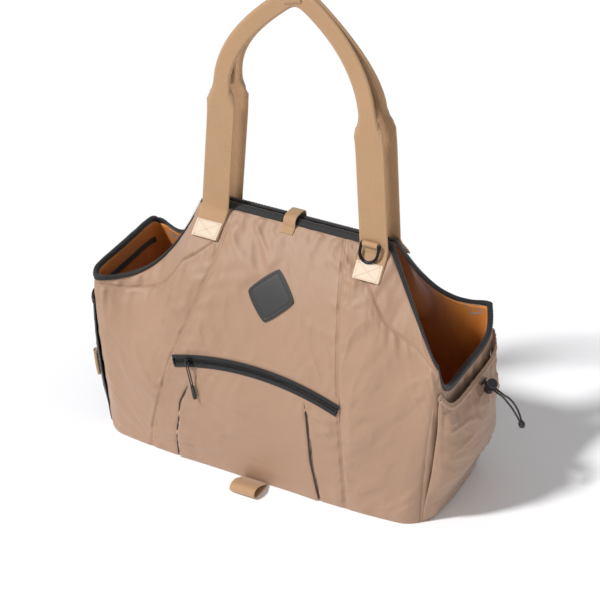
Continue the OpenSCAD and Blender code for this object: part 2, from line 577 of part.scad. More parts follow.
// ---- Drawcord: two strands out of the hem, a sprung lock and a bead ----
lock_at = [243, 16, 143.5];
lock_dip = 26;          // angle at which the cord leaves, below level
lock_roll = 25;         // angle by which the lock has rolled round the cord
module at_lock() translate(lock_at) rotate([0, lock_dip, 0]) rotate([lock_roll, 0, 0]) children();
strand_gap = 1.4;       // half the distance between the strands in the lock
lock_r = 5.5;
lock_bore = 4.1;
lock_top = 4.5;
lock_bottom = -10.2;
slot_h = cord_d + 0.6;
module lock_slot(h, z0, length) translate([-length / 2, 0, 0]) rotate([90, 0, 90]) linear_extrude(length)
    translate([-strand_gap - cord_d / 2 - 0.3, z0]) square([2 * strand_gap + cord_d + 0.6, h]);
module cord_lock_body() color(black) at_lock() difference() {
    rotate_extrude() polygon([[0, lock_bottom], [lock_r - 1, lock_bottom], [lock_r, lock_bottom + 1],
        [lock_r, lock_top - 2.4], [lock_r + 0.8, lock_top - 2], [lock_r + 0.8, lock_top], [0, lock_top]]);
    translate([0, 0, lock_bottom + 1.2]) cylinder(r = lock_bore, h = 30);
    lock_slot(slot_h, -slot_h / 2, 20);
}
stem_bottom = -slot_h / 2 - 2;
head_z = lock_top + plunger_travel + 0.2;
module cord_lock_plunger() color(charcoal) at_lock() {
    difference() {
        translate([0, 0, stem_bottom]) cylinder(r = lock_bore - 0.08, h = head_z - stem_bottom);
        lock_slot(slot_h + plunger_travel, -slot_h / 2, 20);
    }
    translate([0, 0, head_z]) rotate_extrude() polygon([[0, 0], [lock_r + 0.6, 0], [lock_r + 0.6, 1.6],
        [lock_r - 0.4, 2.6], [0, 2.8]]);
}
module cord_lock_spring() color(steel) at_lock() {
    wire = 0.3;
    turns = 3;
    z0 = lock_bottom + 1.2 + wire + 0.05;
    z1 = stem_bottom - wire - 0.05;
    steps = 12 * turns;
    sweep([for (i = [0:steps]) let(a = i * 30, r = lock_bore - 1.2)
        [for (j = [0:4]) let(b = -j * 72)
            [(r + wire * cos(b)) * cos(a), (r + wire * cos(b)) * sin(a),
                lerp(z0, z1, i / steps) + wire * sin(b)]]]);
}
module cord_eyelets() color(black) at_lock() rotate([0, 90, 0]) translate([0, 0, -10])
    rotate_extrude() polygon([[3.6, -0.5], [4.4, -0.5], [4.4, 0], [5.8, 0], [5.8, 1], [4.6, 1.5],
        [3.6, 1.5]]);
// Middle line of the drawcord's tail, and how far each strand lies from it
cord_route = [[233.6, 16, 148.1, 1.4], [238.3, 16, 145.8, 1.4], [243, 16, 143.5, 1.4],
    [248.8, 16, 140.7, 1.4], [254.3, 16, 138, 1.4], [259.2, 16, 135.6, 1.4], [263.5, 16.2, 132.8, 2.3],
    [267.3, 16.5, 129.4, 2.6], [270.8, 16.8, 125.4, 2.7], [273.8, 17.1, 121, 2.6],
    [276.4, 17.4, 116.3, 2.3], [278.6, 17.7, 111.5, 1.8],
    [280.3, 18, 107, 1.3]];
strand_side = [0.185, 0.906, 0.38];
module strand(sign) {
    mid = [for (q = cord_route) [q.x, q.y, q.z] + sign * q[3] * strand_side];
    sweep([for (i = [0:len(mid) - 1]) let(
        along = unit(mid[min(len(mid) - 1, i + 1)] - mid[max(0, i - 1)]),
        a = unit(cross([0, 1, 0], along)), b = cross(along, a))
        [for (j = [0:7]) mid[i] + cord_d / 2 * (cos(j * 45) * a + sin(j * 45) * b)]]);
}
module drawcord_upper() color(charcoal) strand(1);
module drawcord_lower() color(charcoal) strand(-1);
module cord_end_bead() color(black) translate([281.5, 18.2, 103.9]) rotate([0, -20, 0]) rotate_extrude()
    polygon([[0, -4.2], [2, -4], [3.4, -2.4], [3.8, 0], [3.4, 2.4], [2.4, 4.2], [0, 4.2]]);

// ---- Bottom loop: webbing sewn in the front seam of the base, lying on the surface ----
loop_x = 4;
loop_w = 32;
module bottom_loop() color(webbing) translate([loop_x - loop_w / 2, 0, 0]) rotate([90, 0, 90])
    linear_extrude(loop_w) difference() {
        translate([-89.7, 0.4]) polygon([[-1.2, 1], [-6, 0], [-28, 0], [-32, 1.2], [-34.6, 4.6], [-34.2, 8.6],
            [-31, 11.6], [-26, 12.4], [-20, 11.4], [-12, 7.6], [-5, 4.4], [-2.2, 3.2]]);
        translate([-89.7, 0.4]) polygon([[-7, 1.6], [-28, 1.6], [-31, 2.4], [-33, 4.8], [-32.6, 7.8],
            [-30.4, 10.2], [-26, 10.8], [-20.6, 9.9], [-12.6, 6.2]]);
    }

front_upper_panel();
front_pocket_panel();
front_left_panel();
front_right_panel();
back_centre_panel();
back_left_panel();
back_right_panel();
left_end_panel();
right_end_panel();
base_panel();
base_board();
floor_lining();
base_mat();
front_lining();
back_lining();
left_end_lining();
right_end_lining();
rim_binding();
front_pocket_lining();
left_inner_pocket();
right_inner_pocket();
zip_tape();
zip_chain();
zip_stops();
zip_slider();
puller_cord();
puller_grip();
front_patch();
top_tab();
strap_roots();
strap_anchors();
strap_flex_sections();
front_handle();
back_handle();
handle_keeper();
d_ring_tab();
d_ring();
right_end_pocket();
right_pocket_hem();
left_mesh_pocket();
left_pocket_binding();
left_side_tab();
cord_eyelets();
cord_lock_body();
cord_lock_plunger();
cord_lock_spring();
drawcord_upper();
drawcord_lower();
cord_end_bead();
bottom_loop();
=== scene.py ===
import math
import bpy
import numpy as np
from mathutils import Matrix, Vector


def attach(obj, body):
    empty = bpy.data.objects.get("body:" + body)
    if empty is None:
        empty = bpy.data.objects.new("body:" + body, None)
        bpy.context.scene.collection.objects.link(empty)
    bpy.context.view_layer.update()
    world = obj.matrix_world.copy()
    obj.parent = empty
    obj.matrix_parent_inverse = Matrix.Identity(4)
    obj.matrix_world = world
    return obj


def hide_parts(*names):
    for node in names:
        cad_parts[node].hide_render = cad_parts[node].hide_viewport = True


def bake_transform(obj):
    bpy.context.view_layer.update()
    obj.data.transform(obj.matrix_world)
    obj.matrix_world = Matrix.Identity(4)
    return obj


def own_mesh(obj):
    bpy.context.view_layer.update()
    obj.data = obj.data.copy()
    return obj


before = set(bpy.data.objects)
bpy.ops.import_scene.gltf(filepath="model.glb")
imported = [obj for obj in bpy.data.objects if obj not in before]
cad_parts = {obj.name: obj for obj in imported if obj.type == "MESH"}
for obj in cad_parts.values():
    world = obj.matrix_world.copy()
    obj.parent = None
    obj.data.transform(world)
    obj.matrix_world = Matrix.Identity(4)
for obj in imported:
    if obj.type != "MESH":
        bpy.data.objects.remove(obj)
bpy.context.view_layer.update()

# Sizes below are millimetres, as in the part's source; meshes are scaled to metres when they are made.
mm = 0.001
scene = bpy.context.scene
scene.view_settings.view_transform = "Standard"

# camera
view = dict(yaw=28.4, pitch=31.36, roll=-0.17, distance=2258.15, lens=120.0, target=(13.05, 0.0, 197.79))


def makeCamera():
    yaw, pitch, roll = (math.radians(view[n]) for n in ("yaw", "pitch", "roll"))
    back = Vector((math.sin(yaw) * math.cos(pitch), -math.cos(yaw) * math.cos(pitch), math.sin(pitch)))
    right = Vector((math.cos(yaw), math.sin(yaw), 0))
    up = back.cross(right)
    tilted = right * math.cos(roll) + up * math.sin(roll)
    raised = up * math.cos(roll) - right * math.sin(roll)
    place = (Vector(view["target"]) + back * view["distance"]) * mm
    data = bpy.data.cameras.new("camera")
    data.lens = view["lens"]
    data.sensor_width = 36
    cam = bpy.data.objects.new("camera", data)
    cam.matrix_world = Matrix.Translation(place) @ Matrix((tilted, raised, back)).transposed().to_4x4()
    scene.collection.objects.link(cam)
    scene.camera = cam


makeCamera()

# form of the bag, as in the part's source: s runs along a side from -1 to 1, t from the base up to the rim,
# k is -1 at the front or left and 1 at the back or right, and d is a distance in from the surface
bag = dict(
    baseLength=422, baseWidth=160, cornerRadius=28, sideBulge=10, endBulge=5,
    crestHeight=300, crestHalf=118, crestShift=11, crestGap=10, crestEnd=0.55, crestReach=100,
    rimLength=443, rimWidth=156, rimRound=22, cornerHeight=((198, 205), (205, 211)), rimSag=(-8, 40),
    leftCurve=3, rightCurve=1.1, rightBackCurve=2.4,
    shell=1.8, lining=1, liningDepth=3.2,
)


def lerp(a, b, t):
    return a + (b - a) * t


def smooth(x):
    c = np.clip(x, 0, 1)
    return c * c * (3 - 2 * c)


def unit(v):
    return v / np.maximum(np.linalg.norm(v, axis=-1, keepdims=True), 1e-9)


def stack(x, y, z):
    return np.stack(np.broadcast_arrays(x, y, z), -1).astype(float)


def bezier(a, b, c, d, t):
    t = np.asarray(t, float)[..., None]
    return (1 - t) ** 3 * a + 3 * t * (1 - t) ** 2 * b + 3 * t * t * (1 - t) * c + t ** 3 * d


def cornerPoint(a, b, s):
    r = bag["cornerRadius"]
    along = np.abs(s) * (a - r + r * math.pi / 4)
    turn = np.maximum((along - (a - r)) / r, 0)
    return np.sign(s) * np.where(turn > 0, a - r + r * np.sin(turn), along), b - r * (1 - np.cos(turn))


def rimCorner(sign, d):
    # the rim seen from above: the crest's end, the sharp corner, and where the round corner starts and ends
    flat = np.zeros_like(sign, float)
    crest = stack(sign * bag["crestHalf"] + bag["crestShift"], flat + bag["crestGap"] - d, flat)
    sharp = stack(sign * (bag["rimLength"] / 2 - d), flat + bag["rimWidth"] / 2 - d, flat)
    start = sharp - bag["rimRound"] * unit(sharp - crest)
    return crest, sharp, start, sharp - np.array([0, bag["rimRound"], 0])


def halfTurn(a, b, sharp, q):
    q = q[..., None]
    return (1 - q) ** 2 * a + q * (1 - q) * (a + sharp) + q * q * (a + 2 * sharp + b) / 4


def longRim(s, k, d):
    sign = np.where(s < 0, -1, 1)
    tau = np.clip((np.abs(s) - bag["crestEnd"]) / (1 - bag["crestEnd"]), 0, 1)
    crest, sharp, start, end = rimCorner(sign, d)
    cut = 1 - bag["rimRound"] / np.linalg.norm(sharp - crest, axis=-1)
    straight = lerp(crest, sharp, tau[..., None])
    turned = halfTurn(start, end, sharp, np.clip((tau - cut) / (1 - cut), 0, 1))
    p = np.where((tau < cut)[..., None], straight, turned)
    x = np.where(tau == 0, bag["crestShift"] + s / bag["crestEnd"] * bag["crestHalf"], p[..., 0])
    cornerZ = np.where(s < 0, *(heights[0 if k < 0 else 1] for heights in bag["cornerHeight"]))
    power = np.where(s < 0, bag["leftCurve"], bag["rightCurve"] if k < 0 else bag["rightBackCurve"])
    return stack(x, k * p[..., 1], cornerZ + (bag["crestHeight"] - cornerZ) * (1 - tau) ** power)


def endRim(s, k, d):
    _, sharp, start, end = rimCorner(np.full_like(s, k), d)
    half = bag["rimWidth"] / 2 - d
    cut = 1 - bag["rimRound"] / half
    q = (np.abs(s) - cut) / (1 - cut)
    turned = halfTurn(end, start, sharp, np.clip(q, 0, 1))
    x = np.where(q < 0, k * (bag["rimLength"] / 2 - d - 1 + (s / cut) ** 2), turned[..., 0])
    y = np.where(q < 0, half * np.abs(s), turned[..., 1])
    side = 0 if k < 0 else 1
    corner = lerp(*bag["cornerHeight"][side], (s + 1) / 2)
    return stack(x, np.sign(s) * y, corner - bag["rimSag"][side] * (1 - np.abs(s) ** 5))


def longSide(s, t, k, d=0.0, foot=0.0):
    s, t = np.broadcast_arrays(np.asarray(s, float), np.asarray(t, float))
    rim = longRim(s, k, d)
    px, py = cornerPoint(bag["baseLength"] / 2 - d, bag["baseWidth"] / 2 - d, s)
    belly = smooth((1 - np.abs(s)) / 0.45)
    low0 = stack(px, k * (py + bag["sideBulge"] * (1 - s ** 4)), foot)
    low = stack(low0[..., 0] + 2 * s, low0[..., 1] + k * (3 + 11 * belly), lerp(foot, rim[..., 2], 0.37))
    reach = lerp(bag["rimWidth"] / 2 - 1, bag["crestReach"], belly) - d
    high = stack(lerp(px, rim[..., 0], 0.62) + 3 * s, k * reach, lerp(0.66, 0.717, belly) * rim[..., 2])
    return bezier(low0, low, high, rim, t)


def endSide(s, t, k, d=0.0, foot=0.0):
    s, t = np.broadcast_arrays(np.asarray(s, float), np.asarray(t, float))
    qx, qy = cornerPoint(bag["baseWidth"] / 2 - d, bag["baseLength"] / 2 - d, s)
    m = 1 - s * s
    rim = endRim(s, k, d)
    low0 = stack(k * (qy + bag["endBulge"] * m), qx, foot)
    low = stack(low0[..., 0] + k * (2 + 4 * m), low0[..., 1] + 3 * s, lerp(foot, rim[..., 2], 0.37))
    high = stack(lerp(low0[..., 0], rim[..., 0], 0.62) + k * (3 + 3 * m), s * (bag["rimWidth"] / 2 - 1 - d),
                 0.66 * rim[..., 2])
    return bezier(low0, low, high, rim, t)


def leftSeam(t):
    t = np.asarray(t, float)
    return -0.67 * (1 - t) ** 3 - 1.875 * t * (1 - t) ** 2 - 0.885 * t * t * (1 - t) - 0.37 * t ** 3


def rightSeam(t):
    return lerp(0.58, 0.30, np.asarray(t, float) ** 1.7)


def zipSlit(s):
    return 0.466 - 0.2 * (s - 0.01) ** 2


# mesh helpers
def graded(n, ends=0.55):
    x = np.linspace(0, 1, n)
    return x - ends * np.sin(2 * math.pi * x) / (2 * math.pi)


def runLength(points, axis):
    step = np.linalg.norm(np.diff(points, axis=axis), axis=-1)
    start = np.zeros_like(np.take(step, [0], axis=axis))
    return np.concatenate([start, np.cumsum(step, axis=axis)], axis=axis)


def gridNormals(points):
    return unit(np.cross(np.gradient(points, axis=0), np.gradient(points, axis=1)))


def makeGrid(name, points, material, body="bag", closeU=False, closeV=False, caps=False,
             flip=False):
    n, m = points.shape[:2]
    full = points
    if closeU:
        full = np.concatenate([full, full[:1]], 0)
    if closeV:
        full = np.concatenate([full, full[:, :1]], 1)
    across = runLength(full, 1)
    along = np.broadcast_to(runLength(full, 0).mean(1, keepdims=True), across.shape)
    i, j = np.meshgrid(np.arange(full.shape[0] - 1), np.arange(full.shape[1] - 1), indexing="ij")
    corners = [(i, j), (i + 1, j), (i + 1, j + 1), (i, j + 1)]
    if closeV:
        a, b, c, d = (full[p, q] - full[0, 0] for p, q in corners)
        volume = (np.cross(a, b) * c).sum() + (np.cross(a, c) * d).sum()
        flip = volume < 0
    if flip:
        corners = corners[::-1]
    faces = np.stack([(a % n) * m + (b % m) for a, b in corners], -1).reshape(-1, 4)
    uvs = np.stack([np.stack([across[a, b], along[a, b]], -1) for a, b in corners], -2).reshape(-1, 2)
    faceList = faces.tolist()
    if caps:
        first, last = list(range(m)), [(n - 1) * m + b for b in range(m)]
        faceList += [first[::-1], last] if not flip else [first, last[::-1]]
        uvs = np.concatenate([uvs, np.zeros((2 * m, 2))])
    return makeMesh(name, points.reshape(-1, 3), faceList, material, body, uvs)


def closedPiece(name, rings, material, slot, *nodes, body="bag"):
    return assign(makeGrid(name, rings, material, body, closeV=True, caps=True), slot, *nodes)


def clothPiece(name, points, material, thickness, slot, node, flip=False):
    return assign(thicken(makeGrid(name, points, material, flip=flip), thickness), slot, node)


def makeMesh(name, points, faces, material, body="bag", uvs=None):
    mesh = bpy.data.meshes.new(name)
    mesh.from_pydata((np.asarray(points, float) * mm).tolist(), [], faces)
    if uvs is not None:
        layer = mesh.uv_layers.new(name="clothUv")
        layer.data.foreach_set("uv", np.asarray(uvs, np.float32).reshape(-1))
    mesh.polygons.foreach_set("use_smooth", [True] * len(mesh.polygons))
    mesh.materials.append(material)
    piece = bpy.data.objects.new(name, mesh)
    scene.collection.objects.link(piece)
    if body:
        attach(piece, body)
    return piece


def assign(piece, slot, *nodes):
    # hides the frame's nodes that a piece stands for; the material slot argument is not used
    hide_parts(*nodes)
    return piece


def dashed(node):
    return node.replace("_", "-")


def thicken(piece, thickness):
    solid = piece.modifiers.new("thickness", "SOLIDIFY")
    solid.thickness = thickness * mm
    solid.offset = -1
    return piece


def ringsAlong(path, across, out, section):
    path, across, out = (np.asarray(v, float) for v in (path, across, out))
    section = np.asarray(section, float)
    if section.ndim == 2:
        section = np.broadcast_to(section, (len(path),) + section.shape)
    return path[:, None] + section[..., :1] * across[:, None] + section[..., 1:2] * out[:, None]


def around(a, b, turn):
    return np.cos(turn)[None, :, None] * a[:, None] + np.sin(turn)[None, :, None] * b[:, None]


def tubeRings(path, radius, sides=12, lay=0.0, strands=3):
    # lay is the length in which the strands of a twisted cord go once round it
    path = np.asarray(path, float)
    along = unit(np.gradient(path, axis=0))
    a = unit(np.cross(along, [0.13, 1, 0.07]))
    b = np.cross(along, a)
    turn = np.arange(sides) * 2 * math.pi / sides
    radius = np.broadcast_to(radius, (len(path),))[:, None, None]
    if lay:
        run = runLength(path, 0)[:, None]
        groove = np.abs(np.sin(strands / 2 * (turn[None, :] - 2 * math.pi * run / lay)))
        radius = radius * (1 - 0.16 * groove)[..., None]
    return path[:, None] + radius * around(a, b, turn)


def turnAbout(axis, degrees):
    return np.array(Matrix.Rotation(math.radians(degrees), 3, axis))


def alongPath(path, out, distance):
    # places, directions and outward normals at distances along a line
    run = runLength(path, 0)
    place = np.stack([np.interp(distance, run, path[:, i]) for i in range(3)], -1)
    ahead = np.stack([np.interp(distance + 0.4, run, path[:, i]) for i in range(3)], -1)
    behind = np.stack([np.interp(distance - 0.4, run, path[:, i]) for i in range(3)], -1)
    normal = unit(np.stack([np.interp(distance, run, out[:, i]) for i in range(3)], -1))
    return place, unit(ahead - behind), normal


def insetLine(points, out, edge, inset):
    # a line on a panel at a distance in from one edge, with its outward normals
    normal = gridNormals(points)
    normal = normal * np.where((normal * out).sum(-1, keepdims=True) < 0, -1, 1)
    if edge in ("low", "high"):
        points, normal = points.transpose(1, 0, 2), normal.transpose(1, 0, 2)
    run = runLength(points, 0)
    want = run[-1] - inset if edge in ("end", "high") else np.full(points.shape[1], inset)
    pick = [[np.interp(want[j], run[:, j], grid[:, j, i]) for i in range(3)] for j in range(points.shape[1])
            for grid in (points, normal)]
    pick = np.array(pick).reshape(-1, 2, 3)
    return pick[:, 0], unit(pick[:, 1])


# a stitch's rings: place along it, size and height, as shares of its length and width
stitchShape = ((-0.5, 0.35, -0.7), (-0.36, 0.9, 0.1), (0, 1, 0.35), (0.36, 0.9, 0.1), (0.5, 0.35, -0.7))


webStitch = dict(pitch=2.8, length=2.1, slot="tan_webbing")


def sew(name, lines, material, body="bag", pitch=3.4, length=2.5, width=0.55, lift=0.1,
        slot=None):
    # short rounded stitches that dip into the cloth at their ends
    verts, faces = [], []
    turn = np.arange(6) * math.pi / 3
    for path, out in lines:
        path, out = np.asarray(path, float), np.asarray(out, float)
        total = runLength(path, 0)[-1]
        count = int(total // pitch)
        if count < 1:
            continue
        place, along, normal = alongPath(path, out, (np.arange(count) + 0.5) * total / count)
        side = unit(np.cross(along, normal))
        rings = []
        for f, r, h in stitchShape:
            centre = place + along * f * length + normal * (lift + h * width / 2)
            rings.append(centre[:, None] + r * width / 2 * around(side, 0.8 * normal, turn))
        block = np.stack(rings, 1).reshape(-1, 3)
        base = len(verts)
        verts.extend(block.tolist())
        for n in range(count):
            at = base + n * 30
            for low in range(at, at + 24, 6):
                faces.extend([low + i, low + (i + 1) % 6, low + 6 + (i + 1) % 6, low + 6 + i]
                             for i in range(6))
            faces.append([at + i for i in range(5, -1, -1)])
            faces.append([at + 24 + i for i in range(6)])
    piece = makeMesh(name, verts, faces, material, body)
    return piece


def noise2(x, y, seed):
    rng = np.random.default_rng(seed)
    table = rng.uniform(0, 2 * math.pi, (64, 64))
    ix, iy = np.floor(x).astype(int), np.floor(y).astype(int)
    fx, fy = x - ix, y - iy

    def corner(dx, dy):
        angle = table[(ix + dx) % 64, (iy + dy) % 64]
        return np.cos(angle) * (fx - dx) + np.sin(angle) * (fy - dy)

    u, v = smooth(fx), smooth(fy)
    return 1.5 * lerp(lerp(corner(0, 0), corner(1, 0), u), lerp(corner(0, 1), corner(1, 1), u), v)


# shared shader groups
def linear(r, g, b):
    def one(c):
        c /= 255
        return c / 12.92 if c <= 0.04045 else ((c + 0.055) / 1.055) ** 2.4
    return (one(r), one(g), one(b), 1)


def newGroup(name, inputs, outputs):
    group = bpy.data.node_groups.new(name, "ShaderNodeTree")
    for label, kind, value in inputs:
        socket = group.interface.new_socket(label, in_out="INPUT", socket_type="NodeSocket" + kind)
        if value is not None:
            socket.default_value = value
    for label, kind in outputs:
        group.interface.new_socket(label, in_out="OUTPUT", socket_type="NodeSocket" + kind)
    return group, group.nodes.new("NodeGroupInput"), group.nodes.new("NodeGroupOutput")


def join(tree, source, target):
    tree.links.new(source, target)


def setInputs(node, values):
    for label, value in values.items():
        node.inputs[label].default_value = value


def math2(tree, operation, a, b=None, clamp=False):
    node = tree.nodes.new("ShaderNodeMath")
    node.operation = operation
    node.use_clamp = clamp
    for socket, value in zip(node.inputs, (a, b)):
        if value is None:
            continue
        if isinstance(value, (int, float)):
            socket.default_value = value
        else:
            join(tree, value, socket)
    return node.outputs[0]


def wovenGroup():
    # threads crossing at right angles; the vector is in millimetres along and across the cloth
    group, inside, out = newGroup("wovenThreads", [("Vector", "Vector", None), ("Thread", "Float", 0.4),
                                                   ("Cross Thread", "Float", 0.4)],
                                  [("Height", "Float"), ("Tone", "Float")])
    parts = group.nodes.new("ShaderNodeSeparateXYZ")
    join(group, inside.outputs["Vector"], parts.inputs[0])
    waves = []
    for axis, label in ((0, "Thread"), (1, "Cross Thread")):
        count = math2(group, "DIVIDE", parts.outputs[axis], inside.outputs[label])
        waves.append(math2(group, "MULTIPLY", count, math.pi))
    over = math2(group, "MULTIPLY", math2(group, "SINE", waves[0]), math2(group, "SINE", waves[1]))
    rib = math2(group, "ABSOLUTE", math2(group, "SINE", waves[0]))
    height = math2(group, "ADD", math2(group, "MULTIPLY", over, 0.35), math2(group, "MULTIPLY", rib, 0.5))
    grain = group.nodes.new("ShaderNodeTexNoise")
    setInputs(grain, {"Scale": 0.35, "Detail": 3})
    join(group, inside.outputs["Vector"], grain.inputs["Vector"])
    join(group, height, out.inputs["Height"])
    join(group, grain.outputs["Fac"], out.inputs["Tone"])
    return group


def shadeGroup():
    # soft cloudy variation of a colour, with wear on the edges
    group, inside, out = newGroup(
        "handledCloth", [("Color", "Color", (1, 1, 1, 1)), ("Dark", "Color", (0, 0, 0, 1)), ("Amount", "Float", 0.2),
                         ("Size", "Float", 12.0), ("Wear", "Float", 0.2)],
        [("Color", "Color"), ("Mask", "Float")])
    place = group.nodes.new("ShaderNodeTexCoord")
    cloud = group.nodes.new("ShaderNodeTexNoise")
    cloud.inputs["Detail"].default_value = 4
    join(group, place.outputs["Object"], cloud.inputs["Vector"])
    join(group, inside.outputs["Size"], cloud.inputs["Scale"])
    shift = math2(group, "MULTIPLY", cloud.outputs["Fac"], inside.outputs["Amount"])
    mix = group.nodes.new("ShaderNodeMix")
    mix.data_type = "RGBA"
    join(group, shift, mix.inputs[0])
    join(group, inside.outputs["Color"], mix.inputs[6])
    join(group, inside.outputs["Dark"], mix.inputs[7])
    shape = group.nodes.new("ShaderNodeNewGeometry")
    edge = group.nodes.new("ShaderNodeMapRange")
    setInputs(edge, {"From Min": 0.5, "From Max": 0.62})
    join(group, shape.outputs["Pointiness"], edge.inputs["Value"])
    worn = math2(group, "MULTIPLY", edge.outputs[0], inside.outputs["Wear"], clamp=True)
    lift = group.nodes.new("ShaderNodeMix")
    lift.data_type = "RGBA"
    lift.blend_type = "SCREEN"
    join(group, worn, lift.inputs[0])
    join(group, mix.outputs[2], lift.inputs[6])
    join(group, inside.outputs["Color"], lift.inputs[7])
    join(group, lift.outputs[2], out.inputs["Color"])
    join(group, worn, out.inputs["Mask"])
    return group


woven = wovenGroup()
handled = shadeGroup()


# materials
def startMaterial(name, colour, dark, amount, size, wear):
    material = bpy.data.materials.new(name)
    material.use_nodes = True
    tree = material.node_tree
    cloudy = tree.nodes.new("ShaderNodeGroup")
    cloudy.node_tree = handled
    setInputs(cloudy, {"Color": linear(*colour), "Dark": linear(*dark), "Amount": amount, "Size": size,
                       "Wear": wear})
    return material, tree, tree.nodes["Principled BSDF"], cloudy.outputs["Color"]


def roughAndRelief(tree, shader, grain, height, rough, spread, strength, depth):
    gloss = tree.nodes.new("ShaderNodeMapRange")
    setInputs(gloss, {"To Min": rough - spread[0], "To Max": rough + spread[1]})
    join(tree, grain, gloss.inputs["Value"])
    join(tree, gloss.outputs[0], shader.inputs["Roughness"])
    relief = tree.nodes.new("ShaderNodeBump")
    setInputs(relief, {"Strength": strength, "Distance": depth * mm})
    join(tree, height, relief.inputs["Height"])
    join(tree, relief.outputs[0], shader.inputs["Normal"])


def clothMaterial(name, colour, dark, rough, thread, cross, bump, sheen=0.0, amount=0.35, size=14.0,
                  wear=0.1):
    # thread and cross are the widths of the threads both ways, in millimetres
    material, tree, shader, tone = startMaterial(name, colour, dark, amount, size, wear)
    setInputs(shader, {"Sheen Weight": sheen, "Sheen Roughness": 0.4})
    uv = tree.nodes.new("ShaderNodeUVMap")
    uv.uv_map = "clothUv"
    threads = tree.nodes.new("ShaderNodeGroup")
    threads.node_tree = woven
    setInputs(threads, {"Thread": thread, "Cross Thread": cross})
    join(tree, uv.outputs[0], threads.inputs["Vector"])
    shadow = tree.nodes.new("ShaderNodeMix")
    shadow.data_type = "RGBA"
    shadow.blend_type = "MULTIPLY"
    hollow = math2(tree, "SUBTRACT", 0.85, threads.outputs["Height"], clamp=True)
    join(tree, math2(tree, "MULTIPLY", hollow, 0.35), shadow.inputs[0])
    join(tree, tone, shadow.inputs[6])
    shadow.inputs[7].default_value = linear(*dark)
    join(tree, shadow.outputs[2], shader.inputs["Base Color"])
    roughAndRelief(tree, shader, threads.outputs["Tone"], threads.outputs["Height"], rough, (0.06, 0.08), bump,
                   min(thread, cross) * 0.5)
    return material


def solidMaterial(name, colour, dark, rough, metal=0.0, bump=0.15, grain=900.0, wear=0.3):
    material, tree, shader, tone = startMaterial(name, colour, dark, 0.4, 60.0, wear)
    shader.inputs["Metallic"].default_value = metal
    join(tree, tone, shader.inputs["Base Color"])
    place = tree.nodes.new("ShaderNodeTexCoord")
    skin = tree.nodes.new("ShaderNodeTexNoise")
    setInputs(skin, {"Scale": grain, "Detail": 2})
    join(tree, place.outputs["Object"], skin.inputs["Vector"])
    roughAndRelief(tree, shader, skin.outputs["Fac"], skin.outputs["Fac"], rough, (0.07, 0.07), bump, 0.2)
    return material


nylon = clothMaterial("tanNylon", (181, 147, 121), (150, 116, 93), 0.5, 0.42, 0.42, 0.25, sheen=0.25,
                      amount=0.35, size=9.0, wear=0.12)
strapWeb = clothMaterial("tanWebbing", (196, 158, 118), (150, 112, 76), 0.62, 1.5, 1.1, 0.7, sheen=0.35,
                         amount=0.3, size=20.0, wear=0.25)
# painted highlight: a pale cream copy of the tan webbing, standing for the sheen on the straps' sewn ends
sheenLitWebbing = clothMaterial("sheenLitWebbing", (238, 222, 204), (206, 180, 150), 0.6, 1.2, 0.9, 0.6, sheen=0.3)
orangeLining = clothMaterial("orangeLining", (228, 146, 62), (168, 92, 30), 0.45, 0.5, 0.5, 0.25,
                             sheen=0.3, amount=0.4, size=10.0)
blackTape = clothMaterial("blackTape", (30, 29, 30), (12, 12, 13), 0.62, 1.0, 0.8, 0.6, sheen=0.25,
                          wear=0.3)
blackMesh = clothMaterial("blackMesh", (26, 26, 28), (10, 10, 11), 0.6, 1.4, 1.4, 0.9, sheen=0.2)
padFabric = clothMaterial("padFabric", (198, 122, 50), (140, 78, 28), 0.75, 0.8, 0.8, 0.5, sheen=0.5)
rubber = solidMaterial("patchRubber", (50, 50, 51), (32, 32, 33), 0.55, bump=0.3, grain=700, wear=0.35)
blackPlastic = solidMaterial("blackPlastic", (32, 32, 34), (16, 16, 18), 0.42, bump=0.12, grain=1200)
coilPlastic = solidMaterial("coilPlastic", (28, 28, 30), (12, 12, 14), 0.35, bump=0.08, grain=1500)
blackMetal = solidMaterial("blackMetal", (46, 46, 50), (24, 24, 26), 0.32, metal=0.9, bump=0.05,
                           grain=1500, wear=0.8)
boardPlastic = solidMaterial("boardPlastic", (60, 60, 62), (34, 34, 36), 0.6, bump=0.2, grain=500)
springSteel = solidMaterial("springSteel", (190, 192, 196), (140, 142, 146), 0.25, metal=1.0,
                            bump=0.03)
sheath = clothMaterial("cordSheath", (44, 42, 42), (16, 15, 15), 0.62, 0.9, 0.7, 0.9, sheen=0.3,
                       wear=0.5)
thread = solidMaterial("tanThread", (214, 180, 146), (170, 130, 96), 0.5, bump=0.3, grain=2500)
seamThread = solidMaterial("seamThread", (128, 100, 80), (96, 72, 54), 0.55, bump=0.3, grain=2500)
# painted shade: a dark brown cloth for the strips that stand for the shadow inside each pleat
pleatShade = clothMaterial("paintedPleatShade", (58, 42, 33), (34, 24, 18), 0.6, 0.42, 0.42, 0.25)
blackThread = solidMaterial("blackThread", (40, 40, 41), (20, 20, 20), 0.5, bump=0.3, grain=2500)
print("materials ready")


# drawcord tail, first because it is a free cord
tail = dict(
    route=((233.6, 16, 148.1, 1.4), (238.3, 16, 145.8, 1.4), (243, 16, 143.5, 1.4), (248.8, 16, 140.7, 1.4),
           (254.3, 16, 138, 1.4), (259.2, 16, 135.6, 1.4), (263.5, 16.2, 132.8, 2.3), (267.3, 16.5, 129.4, 2.6),
           (270.8, 16.8, 125.4, 2.7), (273.8, 17.1, 121, 2.6), (276.4, 17.4, 116.3, 2.3), (278.6, 17.7, 111.5, 1.8),
           (280.3, 18, 107, 1.3)),
    side=(0.185, 0.906, 0.38), diameter=2.4,
)


def routeOf(sign):
    path = np.array([q[:3] for q in tail["route"]], float)
    return path + sign * np.array([[q[3]] for q in tail["route"]]) * np.array(tail["side"])


